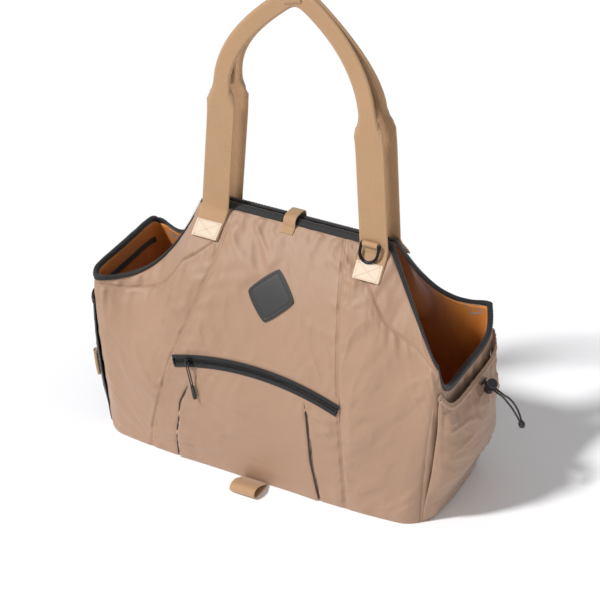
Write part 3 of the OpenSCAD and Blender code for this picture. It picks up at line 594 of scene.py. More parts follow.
def smoothPath(points, per=6):
    points = np.asarray(points, float)
    padded = np.concatenate([2 * points[:1] - points[1:2], points, 2 * points[-1:] - points[-2:-1]])
    out = []
    for a, b, c, d in zip(padded[:-3], padded[1:-2], padded[2:-1], padded[3:]):
        for f in np.arange(per) / per:
            out.append(0.5 * (2 * b + (c - a) * f + (2 * a - 5 * b + 4 * c - d) * f ** 2
                              + (3 * b - a - 3 * c + d) * f ** 3))
    return np.array(out + [points[-1]])


for strandName, sign in (("drawcord_upper", 1), ("drawcord_lower", -1)):
    line = smoothPath(routeOf(sign))
    strand = makeGrid(dashed(strandName), tubeRings(line, tail["diameter"] / 2 * 1.04, 18, 5.5, 4), sheath,
                      closeV=True, caps=True)
    assign(strand, "cord_sheath", strandName)
print("drawcord made")


# outer panels; the cloth dips at its seams and wrinkles by these amounts
cloth = dict(dip=2.0, dipWidth=2.6, wrinkle=3.6, yokeDip=1.7)


def panelGrid(k, lo, hi, bottom, top, size, d=0.0, foot=0.0):
    nu, nv = size
    u, v = graded(nu)[:, None], graded(nv)[None, :]

    def across(t):
        return lerp(lo(t), hi(t), u)

    def meet(line):
        t = np.full_like(u, 0.45)
        for _ in range(3):
            t = line(across(t))
        return t

    t = lerp(meet(bottom), meet(top), v)
    return longSide(across(t), t, k, d, foot), across(t), t


def dress(points, out, borders, seed, wrinkle=1.0, lean=0.5, spread=(30, 80), calm=None, sink=1.3):
    # seams draw the cloth in, gathers run away from them and slack falls into soft folds
    normal = gridNormals(points)
    normal *= np.where((normal * out).sum(-1, keepdims=True) < 0, -1, 1)
    side = runLength(points, 0)
    rise = runLength(points, 1)
    reachTo = dict(start=side, end=side[-1:] - side, low=rise, high=rise[:, -1:] - rise)
    alongIt = dict(start=rise, end=rise, low=side, high=side)
    nearest = np.minimum.reduce([reachTo[n] for n in ("start", "end", "low", "high")])
    shift = np.zeros(points.shape[:2])
    for n, (name, (depth, gather, reach, wave)) in enumerate(borders.items()):
        d, w = reachTo[name], alongIt[name]
        shift -= depth * np.exp(-(d / cloth["dipWidth"]) ** 2)
        ridges = noise2(w / wave + 0.3 * np.sin(d / 17), d / (2.6 * reach) + n, seed + n)
        shift += gather * np.exp(-d / reach) * smooth(nearest / 5) * ridges
    level = points[..., 0] + points[..., 1] * 0.6
    a = level * math.cos(lean) + points[..., 2] * math.sin(lean)
    b = points[..., 2] * math.cos(lean) - level * math.sin(lean)
    warp = 9 * noise2(a / 60, b / 60, seed + 10)
    fold = noise2((a + warp) / spread[0], b / spread[1], seed + 11)
    fine = noise2((a - warp) / (spread[0] * 0.45), b / (spread[1] * 0.6), seed + 12)
    swell = noise2(a / 90, b / 110, seed + 13)
    creases = np.exp(-(fold / 0.11) ** 2) * smooth(0.5 + 1.6 * swell) + 0.5 * np.exp(-(fine / 0.13) ** 2)
    slack = 0.55 * fold + 0.3 * fine + 0.7 * swell + 0.42 * creases
    shift += wrinkle * cloth["wrinkle"] * smooth(nearest / 20) * slack
    shift = np.where(shift < 0, -sink * np.tanh(-shift / sink), shift)
    if calm is not None:
        shift = np.where(shift > 0, shift * calm, shift * lerp(0.25, 1, calm))
    return points + normal * shift[..., None]


def leftYoke(s):
    return np.interp(s, [-1, -0.9, -0.786, -0.66, -0.555, -0.48, -0.403, -0.37],
                     [0.975, 0.958, 0.918, 0.838, 0.784, 0.822, 0.876, 0.9])


def rightYoke(s):
    return np.interp(s, [0.3, 0.34, 0.483, 0.56, 0.634, 0.7, 0.745, 0.843, 0.977, 1],
                     [0.965, 0.955, 0.885, 0.845, 0.836, 0.85, 0.869, 0.918, 0.968, 0.975])


def foot(s):
    return 0 * s


def rim(s):
    return 0 * s + 1


def sideEdge(value):
    return lambda t: 0 * np.asarray(t, float) + value


seamed = (cloth["dip"], 2.9, 22, 11)
gathered = (cloth["yokeDip"], 3.8, 28, 8)
rimmed = (0.6, 3.4, 30, 12)
corner = (1.0, 0.9, 12, 15)
hemmed = (0.7, 1.7, 22, 15)
zipped = (0.0, 2.8, 26, 10)
# a border is how deep its seam dips, how high its gathers are, how far they reach in and how wide one is
# a panel is its side, left and right edges, lower and upper edges, grid, node, borders, wrinkles and their slope
panels = dict(
    frontUpper=(-1, leftSeam, rightSeam, zipSlit, rim, (104, 74), "front_upper_panel",
                dict(start=seamed, end=seamed, low=zipped, high=rimmed), 1.0, 0.4),
    frontPocket=(-1, leftSeam, rightSeam, foot, zipSlit, (104, 64), "front_pocket_panel",
                 dict(start=seamed, end=seamed, low=hemmed, high=zipped), 1.0, 1.2),
    frontLeft=(-1, sideEdge(-1), leftSeam, foot, leftYoke, (60, 96), "front_left_panel",
               dict(start=corner, end=seamed, low=hemmed, high=gathered), 1.1, 0.9),
    frontLeftYoke=(-1, sideEdge(-1), leftSeam, leftYoke, rim, (60, 26), "front_left_panel",
                   dict(start=corner, end=seamed, low=gathered, high=rimmed), 0.5, 0.9),
    frontRight=(-1, rightSeam, sideEdge(1), foot, rightYoke, (64, 100), "front_right_panel",
                dict(start=seamed, end=corner, low=hemmed, high=gathered), 1.1, -0.8),
    frontRightYoke=(-1, rightSeam, sideEdge(1), rightYoke, rim, (64, 26), "front_right_panel",
                    dict(start=seamed, end=corner, low=gathered, high=rimmed), 0.5, -0.8),
    backCentre=(1, leftSeam, rightSeam, foot, rim, (92, 110), "back_centre_panel",
                dict(start=seamed, end=seamed, low=hemmed, high=rimmed), 1.0, 0.6),
    backLeft=(1, sideEdge(-1), leftSeam, foot, leftYoke, (52, 84), "back_left_panel",
              dict(start=corner, end=seamed, low=hemmed, high=gathered), 1.0, 0.9),
    backLeftYoke=(1, sideEdge(-1), leftSeam, leftYoke, rim, (52, 24), "back_left_panel",
                  dict(start=corner, end=seamed, low=gathered, high=rimmed), 0.5, 0.9),
    backRight=(1, rightSeam, sideEdge(1), foot, rightYoke, (56, 88), "back_right_panel",
               dict(start=seamed, end=corner, low=hemmed, high=gathered), 1.0, -0.8),
    backRightYoke=(1, rightSeam, sideEdge(1), rightYoke, rim, (56, 24), "back_right_panel",
                   dict(start=seamed, end=corner, low=gathered, high=rimmed), 0.5, -0.8),
)


pleats = dict(
    left=((-0.395, 0.336), (-0.448, 0.252), (-0.461, 0.175), (-0.481, 0.116), (-0.486, 0.046)),
    right=((0.312, 0.411), (0.332, 0.357), (0.353, 0.273), (0.374, 0.160), (0.415, 0.019)),
)
dressed = {}


def calmPlaces(s, t):
    # the cloth lies flat under the zip tape and the patch
    fromZip = np.abs(t - zipSlit(s)) * 320
    u = (s - 0.013) / 0.148 + (t - 0.756) / 0.104
    v = (t - 0.756) / 0.104 - (s - 0.013) / 0.148
    fromPatch = (np.maximum(np.abs(u), np.abs(v)) - 1) * 22
    fromLoop = np.maximum((np.abs(s - 0.02) - 0.1) * 211, (t - 0.05) * 300)
    return smooth((fromZip - 8) / 9) * smooth((fromPatch - 1) / 8) * smooth(fromLoop / 8)


def pleatShift(s, t):
    # each pleat folds outwards over its neighbour: a crease, and a step that fades towards the middle
    shift = np.zeros_like(s)
    for line, sign in ((pleats["left"], 1), (pleats["right"], -1)):
        places, heights = np.array(line).T
        away = (s - np.interp(t, heights[::-1], places[::-1])) * sign * bag["baseLength"] / 2
        fade = smooth((heights.max() + 0.06 - t) / 0.12)
        step = np.where(away > 0, np.exp(-away / 16), 0)
        shift += fade * (1.9 * step * smooth(away / 1.2) - 1.5 * np.exp(-(away / 1.8) ** 2))
    return shift


def makePanels():
    for n, (name, (k, lo, hi, bottom, top, size, node, borders, wrinkle, lean)) in enumerate(panels.items()):
        points, s, t = panelGrid(k, lo, hi, bottom, top, size)
        out = np.array([0, k, 0])
        calm = calmPlaces(s, t) if name in ("frontUpper", "frontPocket") else None
        points = dress(points, out, borders, 40 + 20 * n, wrinkle, lean, calm=calm)
        if name == "frontPocket":
            points = points + out * (pleatShift(s, t) * calm)[..., None]
        dressed[name] = points, out
        clothPiece(name + "Panel", points, nylon, bag["shell"], "tan_nylon", node, flip=k > 0)
    for k, name in ((-1, "left_end_panel"), (1, "right_end_panel")):
        s, t = (2 * graded(64) - 1)[:, None], graded(74)[None, :]
        points = dress(endSide(s, t, k), np.array([k, 0, 0]),
                       dict(start=corner, end=corner, low=hemmed, high=rimmed), 400 + k, 0.9, 0.7)
        dressed[name] = points, np.array([k, 0, 0])
        clothPiece(dashed(name), points, nylon, bag["shell"], "tan_nylon", name, flip=k < 0)


makePanels()
print("outer panels made")


# linings
def makeLinings():
    t = np.linspace(0, 1, 48)[None, :]
    slack = dict(low=(0, 0.5, 20, 15), high=(0, 0.5, 25, 12))
    for form, columns, seed, sides in ((longSide, 110, 510, ("front_lining", "back_lining")),
                                       (endSide, 44, 520, ("left_end_lining", "right_end_lining"))):
        s = (2 * graded(columns, 0.2) - 1)[:, None]
        for k, name in zip((-1, 1), sides):
            inward = np.array([0, -k, 0] if form is longSide else [-k, 0, 0])
            points = dress(form(s, t, k, bag["liningDepth"], 2), inward, slack, seed + k, 0.5, 0.5, sink=0.3)
            clothPiece(dashed(name), points, orangeLining, bag["lining"], "orange_lining", name,
                       flip=(k > 0) == (form is longSide))


makeLinings()


# binding round the rim
binding = dict(height=6, outer=1.2, inner=5.0, ripple=0.35)


def rimFrame(n, m):
    long1 = np.linspace(-1, 1, n)
    end1 = np.linspace(-1, 1, m)[1:-1]
    parts = [(longSide, long1, -1), (endSide, end1, 1), (longSide, long1[::-1], 1), (endSide, end1[::-1], -1)]
    top = np.concatenate([f(s, 1, k) for f, s, k in parts])
    inner = np.concatenate([f(s, 1, k, 4) for f, s, k in parts])
    below = np.concatenate([f(s, 0.93, k) for f, s, k in parts])
    return top, unit(inner - top), unit(top - below)


def roundedSection(half, thick, corners=4, centre=(0, 0)):
    # a strip's section with rounded edges, as across and out
    r = thick / 2
    turn = np.linspace(-math.pi / 2, math.pi / 2, corners * 2 + 1)
    right = np.stack([half - r + r * np.cos(turn), r * np.sin(turn)], -1)
    flat = np.linspace(half - r, -(half - r), 7)[1:-1]
    upper = np.stack([flat, np.full_like(flat, r)], -1)
    left = -right
    lower = -upper
    return np.concatenate([right, upper, left, lower]) + np.array(centre)


def makeBinding():
    top, across, up = rimFrame(150, 46)
    w = np.arange(len(top)) * 1.0
    top = top + up * binding["ripple"] * noise2(w / 4.0, w * 0, 77)[:, None]
    a, b, h = -binding["outer"], binding["inner"], binding["height"]
    section = [(a, 0.2), (a - 0.25, 1.6), (a - 0.3, 3.4), (a + 0.1, 4.9), (a + 1.2, 5.8), (1.9, h + 0.1),
               (b - 1.3, 5.9), (b - 0.2, 5.0), (b + 0.25, 3.4), (b + 0.2, 1.6), (b, 0.2), (b - 0.9, -0.1),
               (1.9, 0.4), (a + 0.9, -0.1)]
    piece = makeGrid("rim-binding", ringsAlong(top, across, up, section), blackTape, closeU=True, closeV=True)
    assign(piece, "black_binding", "rim_binding")


makeBinding()
print("linings and binding made")


# straps and handles
strap = dict(width=33, thick=2.0, gripThick=5, y=15.5, bendLow=306, bendHigh=348, foldTop=430,
             foldStart=420, foldLength=46, pullStart=426, pullLength=120, sewn=(-0.46, 0.47))


def legX(side, z):
    return -86 + (z - 295) * 0.085 if side == 0 else 112.5 - (z - 295) * 0.062


def onFace(s, t, k, lift):
    p = longSide(s, t, k)
    up = unit(p - longSide(s, t - 0.01, k))
    out = unit(np.cross([1, 0, 0], up)) * -k
    return p + out * lift, out


def gripPoint(v):
    if v < 0.5:
        return bezier(*(np.array(q, float) for q in ((-75, 452), (-74, 500), (-38, 532), (8, 568))), 2 * v)
    return bezier(*(np.array(q, float) for q in ((14, 568), (62, 535), (98, 490), (101, 448))), 2 * v - 1)


def foldedSection(fold, width, thick):
    # the side quarters of the webbing turn over and lie on its middle half
    half = width / 2
    turn = fold * math.pi
    gap = thick * 0.55
    n = 22
    w = np.linspace(-1, 1, n)
    d = np.abs(w) * half
    hinge = lerp(half, half * 0.47, smooth(fold * 1.2))
    r = max(gap, 0.35) / 2 + thick / 2
    x, y, nx, ny = [], [], [], []
    arc = turn * r
    for sign, dist in zip(np.sign(w), d):
        if dist <= hinge:
            px, py, ang = dist, 0.0, 0.0
        else:
            past = dist - hinge
            ang = min(past / r, turn)
            px = hinge + r * math.sin(ang)
            py = r * (1 - math.cos(ang))
            left = past - arc
            if left > 0:
                px += left * math.cos(turn)
                py += left * math.sin(turn)
        x.append(sign * px)
        y.append(py)
        nx.append(-sign * math.sin(ang))
        ny.append(math.cos(ang))
    mid = np.stack([x, y], -1)
    normal = np.stack([nx, ny], -1)
    upper = mid + normal * thick / 2
    lower = mid - normal * thick / 2
    edge = unit(mid[-1] - mid[-2]) * thick * 0.3
    start = unit(mid[0] - mid[1]) * thick * 0.3
    ring = np.concatenate([lower, [mid[-1] + edge], upper[::-1], [mid[0] + start]])
    return ring - np.array([0, fold * (gap + thick) / 2])


def handlePath(k):
    rings = []
    for side in (0, 1):
        part = []
        for t in np.linspace(0.889, 0.964, 12):
            p, out = onFace(strap["sewn"][side], t, k, strap["thick"] / 2 + 0.1)
            part.append((np.array([legX(side, p[2]), p[1], p[2]]), out, 0.0))
        for z in np.linspace(299, strap["foldTop"] - 8, 34):
            part.append((np.array([legX(side, z), k * strap["y"], z]), np.array([0, k, 0.0]), 0.0))
        rings.append(part)
    grip = []
    for v in np.linspace(0, 1, 80):
        x, z = gripPoint(v)
        grip.append((np.array([x, k * strap["y"], z]), np.array([0, k, 0.0]), 1.0))
    return rings[0] + grip + rings[1][::-1]


def makeHandle(k):
    points = handlePath(k)
    path = np.array([p for p, _, _ in points])
    out = np.array([o for _, o, _ in points])
    free = path[:, 2] > 300
    kept = path.copy()
    for _ in range(6):
        path[1:-1] = 0.25 * path[:-2] + 0.5 * path[1:-1] + 0.25 * path[2:]
        out[1:-1] = unit(0.25 * out[:-2] + 0.5 * out[1:-1] + 0.25 * out[2:])
        path[~free] = kept[~free]
    z = path[:, 2]
    fold = smooth((z - strap["foldStart"]) / strap["foldLength"])
    pull = smooth((z - strap["pullStart"]) / strap["pullLength"])
    drawn = k * lerp(strap["y"], strap["gripThick"] / 2 + 0.5, pull)
    path[:, 1] = np.where(z > strap["foldStart"], drawn, path[:, 1])
    along = unit(np.gradient(path, axis=0))
    across = unit(np.cross(out, along)) * k
    out = unit(np.cross(along, across)) * k
    sections = np.array([foldedSection(f, strap["width"], strap["thick"]) for f in fold])
    sections[..., 1] *= -1
    return ringsAlong(path, across, out, sections)


def makeHandles():
    for k, node in ((-1, "front_handle"), (1, "back_handle")):
        piece = makeGrid(dashed(node), makeHandle(k), strapWeb, body=None, closeV=True, caps=True)
        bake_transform(piece)
        assign(piece, "tan_webbing", node, "strap_roots", "strap_flex_sections")


makeHandles()
print("handles made")

# end pockets
endPockets = dict(rightBulge=17, leftBulge=11, rightPinch=0.62, leftPinch=0.35, rightSpan=0.97, leftSpan=0.96)


def rightTop(s):
    return 0.88 - 0.04 * np.asarray(s, float) ** 4


def pocketPoint(k, s, v, off):
    s, v = np.broadcast_arrays(np.asarray(s, float), np.asarray(v, float))
    bulge, pinch = (endPockets[("left" if k < 0 else "right") + part] for part in ("Bulge", "Pinch"))
    top = np.full_like(s, 0.82) if k < 0 else rightTop(s)
    swell = np.maximum(0, 1 - s ** 4) ** 0.6 * smooth(v / 0.45) * (1 - pinch * smooth((v - 0.7) / 0.3))
    return endSide(s, 0.02 + (top - 0.02) * v, k) + stack(k * (off + bulge * swell), 0, 0)


def pocketEdge(k, span, n):
    s = np.linspace(-span, span, n)
    p = pocketPoint(k, s, 1, 0.9)
    return p, np.tile([float(k), 0, 0], (n, 1)), unit(p - pocketPoint(k, s, 0.96, 0.9))


def makeEndPockets():
    s, v = (endPockets["rightSpan"] * (2 * graded(150, 0.3) - 1))[:, None], graded(84, 0.6)[None, :]
    out = np.array([1, 0, 0])
    side = (0.4, 0.9, 14, 14)
    edges = dict(start=side, end=side, low=(0.4, 0.9, 16, 15), high=(0.5, 3.4, 30, 8))
    points = dress(pocketPoint(1, s, v, 1.8), out, edges, 610, 1.3, 1.3)
    clothPiece("right-end-pocket", points, nylon, 1.4, "tan_nylon", "right_end_pocket")
    # the hem is a gathered channel with a narrow frill above its stitching
    n = 260
    path, across, up = pocketEdge(1, endPockets["rightSpan"], n)
    run = runLength(path, 0)
    pucker = noise2(run / 3.4, run * 0, 620) + 0.5 * noise2(run / 1.7, run * 0 + 3, 621)
    profile = np.array([(-0.7, 0.2), (0.9, -0.2), (2.3, 0.5), (3.1, 2.2), (3.2, 4.2), (2.5, 5.9), (1.3, 6.6),
                        (1.9, 7.8), (2.3, 9.0), (1.6, 9.5), (0.8, 9.1), (0.5, 7.8), (0.4, 6.6), (-0.5, 5.9),
                        (-0.9, 4.2), (-0.9, 2.2)])
    rings = np.repeat(profile[None], n, 0)
    flare = smooth((profile[:, 1] - 5.8) / 3)
    puff = np.maximum(profile[:, 0], 0) / 3.2 * (1 - flare)
    rings[..., 0] += pucker[:, None] * (1.0 * flare + 0.55 * puff)
    rings[..., 1] += 0.5 * pucker[::-1, None] * flare
    closedPiece("right-pocket-hem", ringsAlong(path, across, up, rings), nylon, "tan_nylon",
                "right_pocket_hem")
    sew("hem-stitches", [(path + across * 1.55 + up * 6.5, across)], thread, pitch=3.0, length=2.2, lift=0.2,
        slot="tan_webbing")

    s, v = (endPockets["leftSpan"] * (2 * graded(96, 0.3) - 1))[:, None], graded(60, 0.4)[None, :]
    side = (0.3, 0.5, 12, 15)
    edges = dict(start=side, end=side, low=(0.3, 0.6, 14, 15), high=(0, 0.5, 14, 12))
    points = dress(pocketPoint(-1, s, v, 1.3), -out, edges, 640, 0.8, 0.9)
    clothPiece("left-mesh-pocket", points, blackMesh, 0.8, "black_mesh", "left_mesh_pocket", flip=True)
    path, across, up = pocketEdge(-1, endPockets["leftSpan"], 80)
    section = np.array([(-0.8, 0.3), (0.2, -0.1), (1.3, 0.3), (1.6, 1.6), (1.6, 4.4), (1.2, 5.8), (0.2, 6.2),
                        (-0.7, 5.8), (-1, 4.4), (-1, 1.6)])
    closedPiece("left-pocket-binding", ringsAlong(path, across, up, section), blackTape, "black_binding",
                "left_pocket_binding")
    sew("left-binding-stitches", [(path + across * 1.6 + up * 1.3, across)], blackThread,
        slot="black_binding")


def makeInnerPockets():
    depth = bag["liningDepth"] + bag["lining"] + 0.4
    for k, name in ((-1, "left_inner_pocket"), (1, "right_inner_pocket")):
        s, t = np.linspace(-0.8, 0.8, 60)[:, None], np.linspace(0.3, 0.9, 40)[None, :]
        points = endSide(s, t, k, depth, 2)
        sewn = (0.2, 0.4, 14, 12)
        edges = dict(start=sewn, end=sewn, low=sewn, high=(0, 0.9, 16, 14))
        points = dress(points, np.array([-k, 0, 0]), edges, 660 + k, 0.7, 0.4)
        clothPiece(dashed(name), points, orangeLining, 1.4, "orange_lining", name, flip=k < 0)
        edge, below = points[:, -1], points[:, -3]
        up = unit(edge - below)
        across = np.tile([-float(k), 0, 0], (len(edge), 1))
        section = np.array([(-0.7, -5), (-0.3, -5.5), (2.0, -5.5), (2.5, -4.8), (2.5, 0), (1.8, 1.3),
                            (0.2, 1.4), (-0.7, 0.7)])
        closedPiece(dashed(name) + "-binding", ringsAlong(edge, across, up, section), blackTape,
                    "black_binding", name)


makeEndPockets()
makeInnerPockets()
print("pockets made")


# zip
zipParts = dict(radius=336, left=17.7, right=18.7, lean=7, apex=(2.3, -91.25, 150.7), tape=15, thick=0.8,
                gap=0.35, coilWire=0.34, coilAt=1.32, coilReach=1.1, coilLift=1.72, coilRise=0.62,
                pitch=1.7, rest=13.9, puller=6.7, sink=5, cordLength=28, half=1.8, wire=1.5)


def zipPoint(angle, r, lift):
    a = np.radians(angle)
    x, y = -r * np.sin(a), r * np.cos(a) - zipParts["radius"]
    tilt = math.radians(90 - zipParts["lean"])
    depth = y * math.cos(tilt) - lift * math.sin(tilt)
    return stack(x, depth, y * math.sin(tilt) + lift * math.cos(tilt)) + np.array(zipParts["apex"])


def makeZip():
    half = zipParts["tape"] / 2
    gap, thick = zipParts["gap"], zipParts["thick"]
    angle = np.linspace(-zipParts["right"], zipParts["left"], 180)
    for name, a, b in (("zip-tape-lower", -half, -gap), ("zip-tape-upper", gap, half)):
        ring = roundedSection((b - a) / 2, thick) + np.array([(b + a) / 2, thick / 2])
        rings = zipPoint(angle[:, None], zipParts["radius"] + ring[None, :, 0], ring[None, :, 1])
        closedPiece(name, rings, blackTape, "black_binding", "zip_tape")
    steps = np.linspace(-zipParts["right"] + 0.6, zipParts["left"] - 0.6, 1700)
    turn = np.radians(steps) * zipParts["radius"] / zipParts["pitch"] * 2 * math.pi
    for sign, name in ((-1, "zip-coil-lower"), (1, "zip-coil-upper")):
        wave = turn + (math.pi if sign < 0 else 0)
        reach = zipParts["coilAt"] + zipParts["coilReach"] * np.cos(wave)
        path = zipPoint(steps, zipParts["radius"] + sign * reach,
                        zipParts["coilLift"] + zipParts["coilRise"] * np.sin(wave))
        closedPiece(name, tubeRings(path, zipParts["coilWire"], 6), coilPlastic, "zip_coil", "zip_chain")
    angle = np.linspace(-zipParts["right"] + 0.5, zipParts["left"] - 0.5, 200)
    up = unit(zipPoint(angle, zipParts["radius"], 1) - zipPoint(angle, zipParts["radius"], 0))
    rows = [(zipPoint(angle, zipParts["radius"] + r, thick), up) for r in (-5.9, 5.9)]
    sew("zip-stitches", rows, blackThread, pitch=2.8, length=2.1, slot="black_binding")


def pullerPlace(points):
    # from the puller's own axes, where it hangs along -Y, to the bag's
    tilt = turnAbout("X", 90 - zipParts["lean"])
    points = np.asarray(points, float) @ turnAbout("X", zipParts["sink"]).T
    points = points + np.array([0, zipParts["radius"], zipParts["puller"] + zipParts["thick"]])
    points = points @ turnAbout("Z", zipParts["rest"]).T - np.array([0, zipParts["radius"], 0])
    return points @ tilt.T + np.array(zipParts["apex"])


def makePuller():
    h, top, low = zipParts["half"], 1.6, -(zipParts["cordLength"] - zipParts["half"])
    bend = np.linspace(0, math.pi, 14)
    loop = [(0, y, -h) for y in np.linspace(low, top, 26)]
    loop += [(0, top + h * math.sin(b), -h * math.cos(b)) for b in bend[1:-1]]
    loop += [(0, y, h) for y in np.linspace(top, low, 26)]
    loop += [(0, low - h * math.sin(b), h * math.cos(b)) for b in bend[1:-1]]
    path = np.array(loop)
    ahead = np.roll(path, -1, 0) - np.roll(path, 1, 0)
    across = np.cross(unit(ahead), [1.0, 0, 0])
    turn = np.arange(14) * 2 * math.pi / 14
    run = np.arange(len(path)) * 1.0
    r = zipParts["wire"] / 2 * (1.04 - 0.14 * np.abs(np.sin(1.5 * (turn[None] - run[:, None] * 0.9))))
    rings = path[:, None] + r[..., None] * around(across, np.tile([1.0, 0, 0], (len(path), 1)), turn)
    piece = makeGrid("puller-cord", pullerPlace(rings.reshape(-1, 3)).reshape(rings.shape), sheath, body="puller",
                     closeU=True, closeV=True)
    assign(piece, "cord_sheath", "puller_cord")


makeZip()
makePuller()
print("zip made")


# patch
patch = dict(at=(0.013, 0.756), half=(0.148, 0.104), thick=1.6, border=0.82)


def patchPlace(u, v, lift):
    pull = 1 - 0.09 * np.abs(u * v) ** 2.5
    s = patch["at"][0] + (u - v) / 2 * pull * patch["half"][0]
    t = patch["at"][1] + (u + v) / 2 * pull * patch["half"][1]
    p = longSide(s, t, -1)
    up = unit(p - longSide(s, t - 0.01, -1))
    return p + unit(np.cross([1.0, 0, 0], up)) * np.asarray(lift)[..., None]


def makePatch():
    n = 84
    u, v = np.meshgrid(2 * graded(n, 0.8) - 1, 2 * graded(n, 0.8) - 1, indexing="ij")
    m = (np.abs(u) ** 14 + np.abs(v) ** 14) ** (1 / 14)
    lift = patch["thick"] * (1 - np.clip((m - 0.955) / 0.09, 0, 1) ** 2.2)
    groove = 0.5 * np.exp(-((m - patch["border"]) / 0.022) ** 2)
    lift = lift - groove + 0.18 * smooth((patch["border"] - 0.03 - m) / 0.05)
    outer = patchPlace(u, v, lift)
    piece = makeGrid("front-patch", outer, rubber)
    assign(piece, "patch_rubber", "front_patch")
    lines = []
    e = np.linspace(-0.9, 0.9, 60)
    for a, b in ((e, 0 * e - 0.91), (0 * e + 0.91, e), (e[::-1], 0 * e + 0.91), (0 * e - 0.91, e[::-1])):
        on = patchPlace(a, b, patch["thick"])
        lines.append((on, unit(patchPlace(a, b, patch["thick"] + 1) - on)))
    sew("patch-stitches", lines, blackThread, pitch=3.0, length=2.2, slot="patch_rubber")


makePatch()


# webbing tabs
def bandOf(name, path, across, width, thick, material, nodes, body="bag", slot="tan_webbing", closed=False):
    path = np.asarray(path, float)
    across = np.tile(unit(np.asarray(across, float)), (len(path), 1))
    if closed:
        along = unit(np.roll(path, -1, 0) - np.roll(path, 1, 0))
    else:
        along = unit(np.gradient(path, axis=0))
    out = unit(np.cross(along, across))
    piece = makeGrid(name, ringsAlong(path, across, out, roundedSection(width / 2, thick)), material, body=body,
                     closeU=closed, closeV=True, caps=not closed)
    assign(piece, slot, *nodes)
    return path, across, out


def boxStitch(path, across, out, inset, width, lift):
    # a sewn rectangle near a strip's end, in the strip's own surface
    left, right = path + across * (width / 2 - inset), path - across * (width / 2 - inset)
    up = out * lift
    lines = [(left + up, out), (right + up, out)]
    for end in (0, -1):
        row = lerp(left[end], right[end], np.linspace(0, 1, 12)[:, None])
        lines.append((row + up[end], np.tile(out[end], (12, 1))))
    return lines


boxInset = 2.2
topTab = dict(x=7, width=15, thick=1.5, lift=0.75, rows=(0.966, 0.973, 0.98, 0.988),
              over=((-13.3, 301.5), (-12.4, 305.6), (-9.4, 308.6), (-4, 309.6)))


def makeTopTab():
    half = [onFace(0.0, t, -1, 0.9)[0][1:] for t in topTab["rows"]] + list(topTab["over"])
    line = [(topTab["x"], y, z) for y, z in half] + [(topTab["x"], -y, z) for y, z in half[::-1]]
    path, across, out = bandOf("top-tab", smoothPath(line, 5), (1, 0, 0), topTab["width"], topTab["thick"],
                               strapWeb, ["top_tab"])
    face = -out if out[len(out) // 2, 2] < 0 else out
    lines = []
    for part in (slice(1, 14), slice(-14, -1)):
        lines += boxStitch(path[part], across[part], face[part], boxInset, topTab["width"], topTab["lift"])
    sew("top-tab-stitches", lines, thread, **webStitch)


anchor = dict(low=0.886, high=0.944, lift=0.55, thick=0.8, trim=1.5, stitchLift=0.4)


def makeAnchors():
    lines = []
    for side in (0, 1):
        for k in (-1, 1):
            rows = []
            for t in np.linspace(anchor["low"], anchor["high"], 16):
                p, out = onFace(strap["sewn"][side], t, k, strap["thick"] + anchor["lift"])
                rows.append((np.array([legX(side, p[2]), p[1], p[2]]), out))
            path = np.array([r[0] for r in rows])
            out = np.array([r[1] for r in rows])
            across = np.tile([-float(k), 0, 0], (len(path), 1))
            width = strap["width"] - anchor["trim"]
            ring = ringsAlong(path, across, out, roundedSection(width / 2, anchor["thick"]))
            name = "strap-anchor-%d%s" % (side, "front" if k < 0 else "back")
            # the anchors' pale cream colour is painted highlight, standing for sheen on the webbing's sewn ends
            closedPiece(name, ring, sheenLitWebbing, "cream_tape", "strap_anchors")
            path, across, out = path[1:-1], across[1:-1], out[1:-1]
            lines += boxStitch(path, across, out, boxInset, width, anchor["stitchLift"])
            for slope in (1, -1):
                shift = slope * np.linspace(-1, 1, 14)[:, None] * (width / 2 - boxInset)
                lines.append((path + across * shift + out * anchor["stitchLift"], out))
    sew("anchor-stitches", lines, thread, pitch=2.6, length=2.0, slot="cream_tape")


keeper = dict(at=(6, 0, 568), tilt=-14, halfDepth=6.9, halfHeight=10.4, square=0.45, width=22, thick=1.9,
              stitchAt=9)


def squareWave(wave, half):
    return half * np.sign(wave) * np.abs(wave) ** keeper["square"]


def makeKeeper():
    turn = np.linspace(0, 2 * math.pi, 60, endpoint=False)
    tilt, at = turnAbout("Y", keeper["tilt"]), np.array(keeper["at"])
    y = squareWave(np.cos(turn), keeper["halfDepth"])
    loop = stack(0 * y, y, squareWave(np.sin(turn), keeper["halfHeight"])) @ tilt.T + at
    across = tilt @ np.array([1.0, 0, 0])
    bandOf("handle-keeper", loop, across, keeper["width"], keeper["thick"], strapWeb, ["handle_keeper"],
           body="handles", closed=True)
    out = unit(loop - at)
    loop, out = np.concatenate([loop, loop[:1]]), np.concatenate([out, out[:1]])
    ends = [(loop + across * w + out * keeper["thick"] / 2, out)
            for w in (-keeper["stitchAt"], keeper["stitchAt"])]
    sew("keeper-stitches", ends, thread, body="handles", **webStitch)


ringTab = dict(x=110, y=-19.8, z=306, radius=2.55, wrap=235, front=2.2, back=0.9, width=18, thick=1.1,
               frontDrops=(13, 10.5, 8, 5.5, 3), backDrops=(4.2, 6.6, 9.2, 11.8))


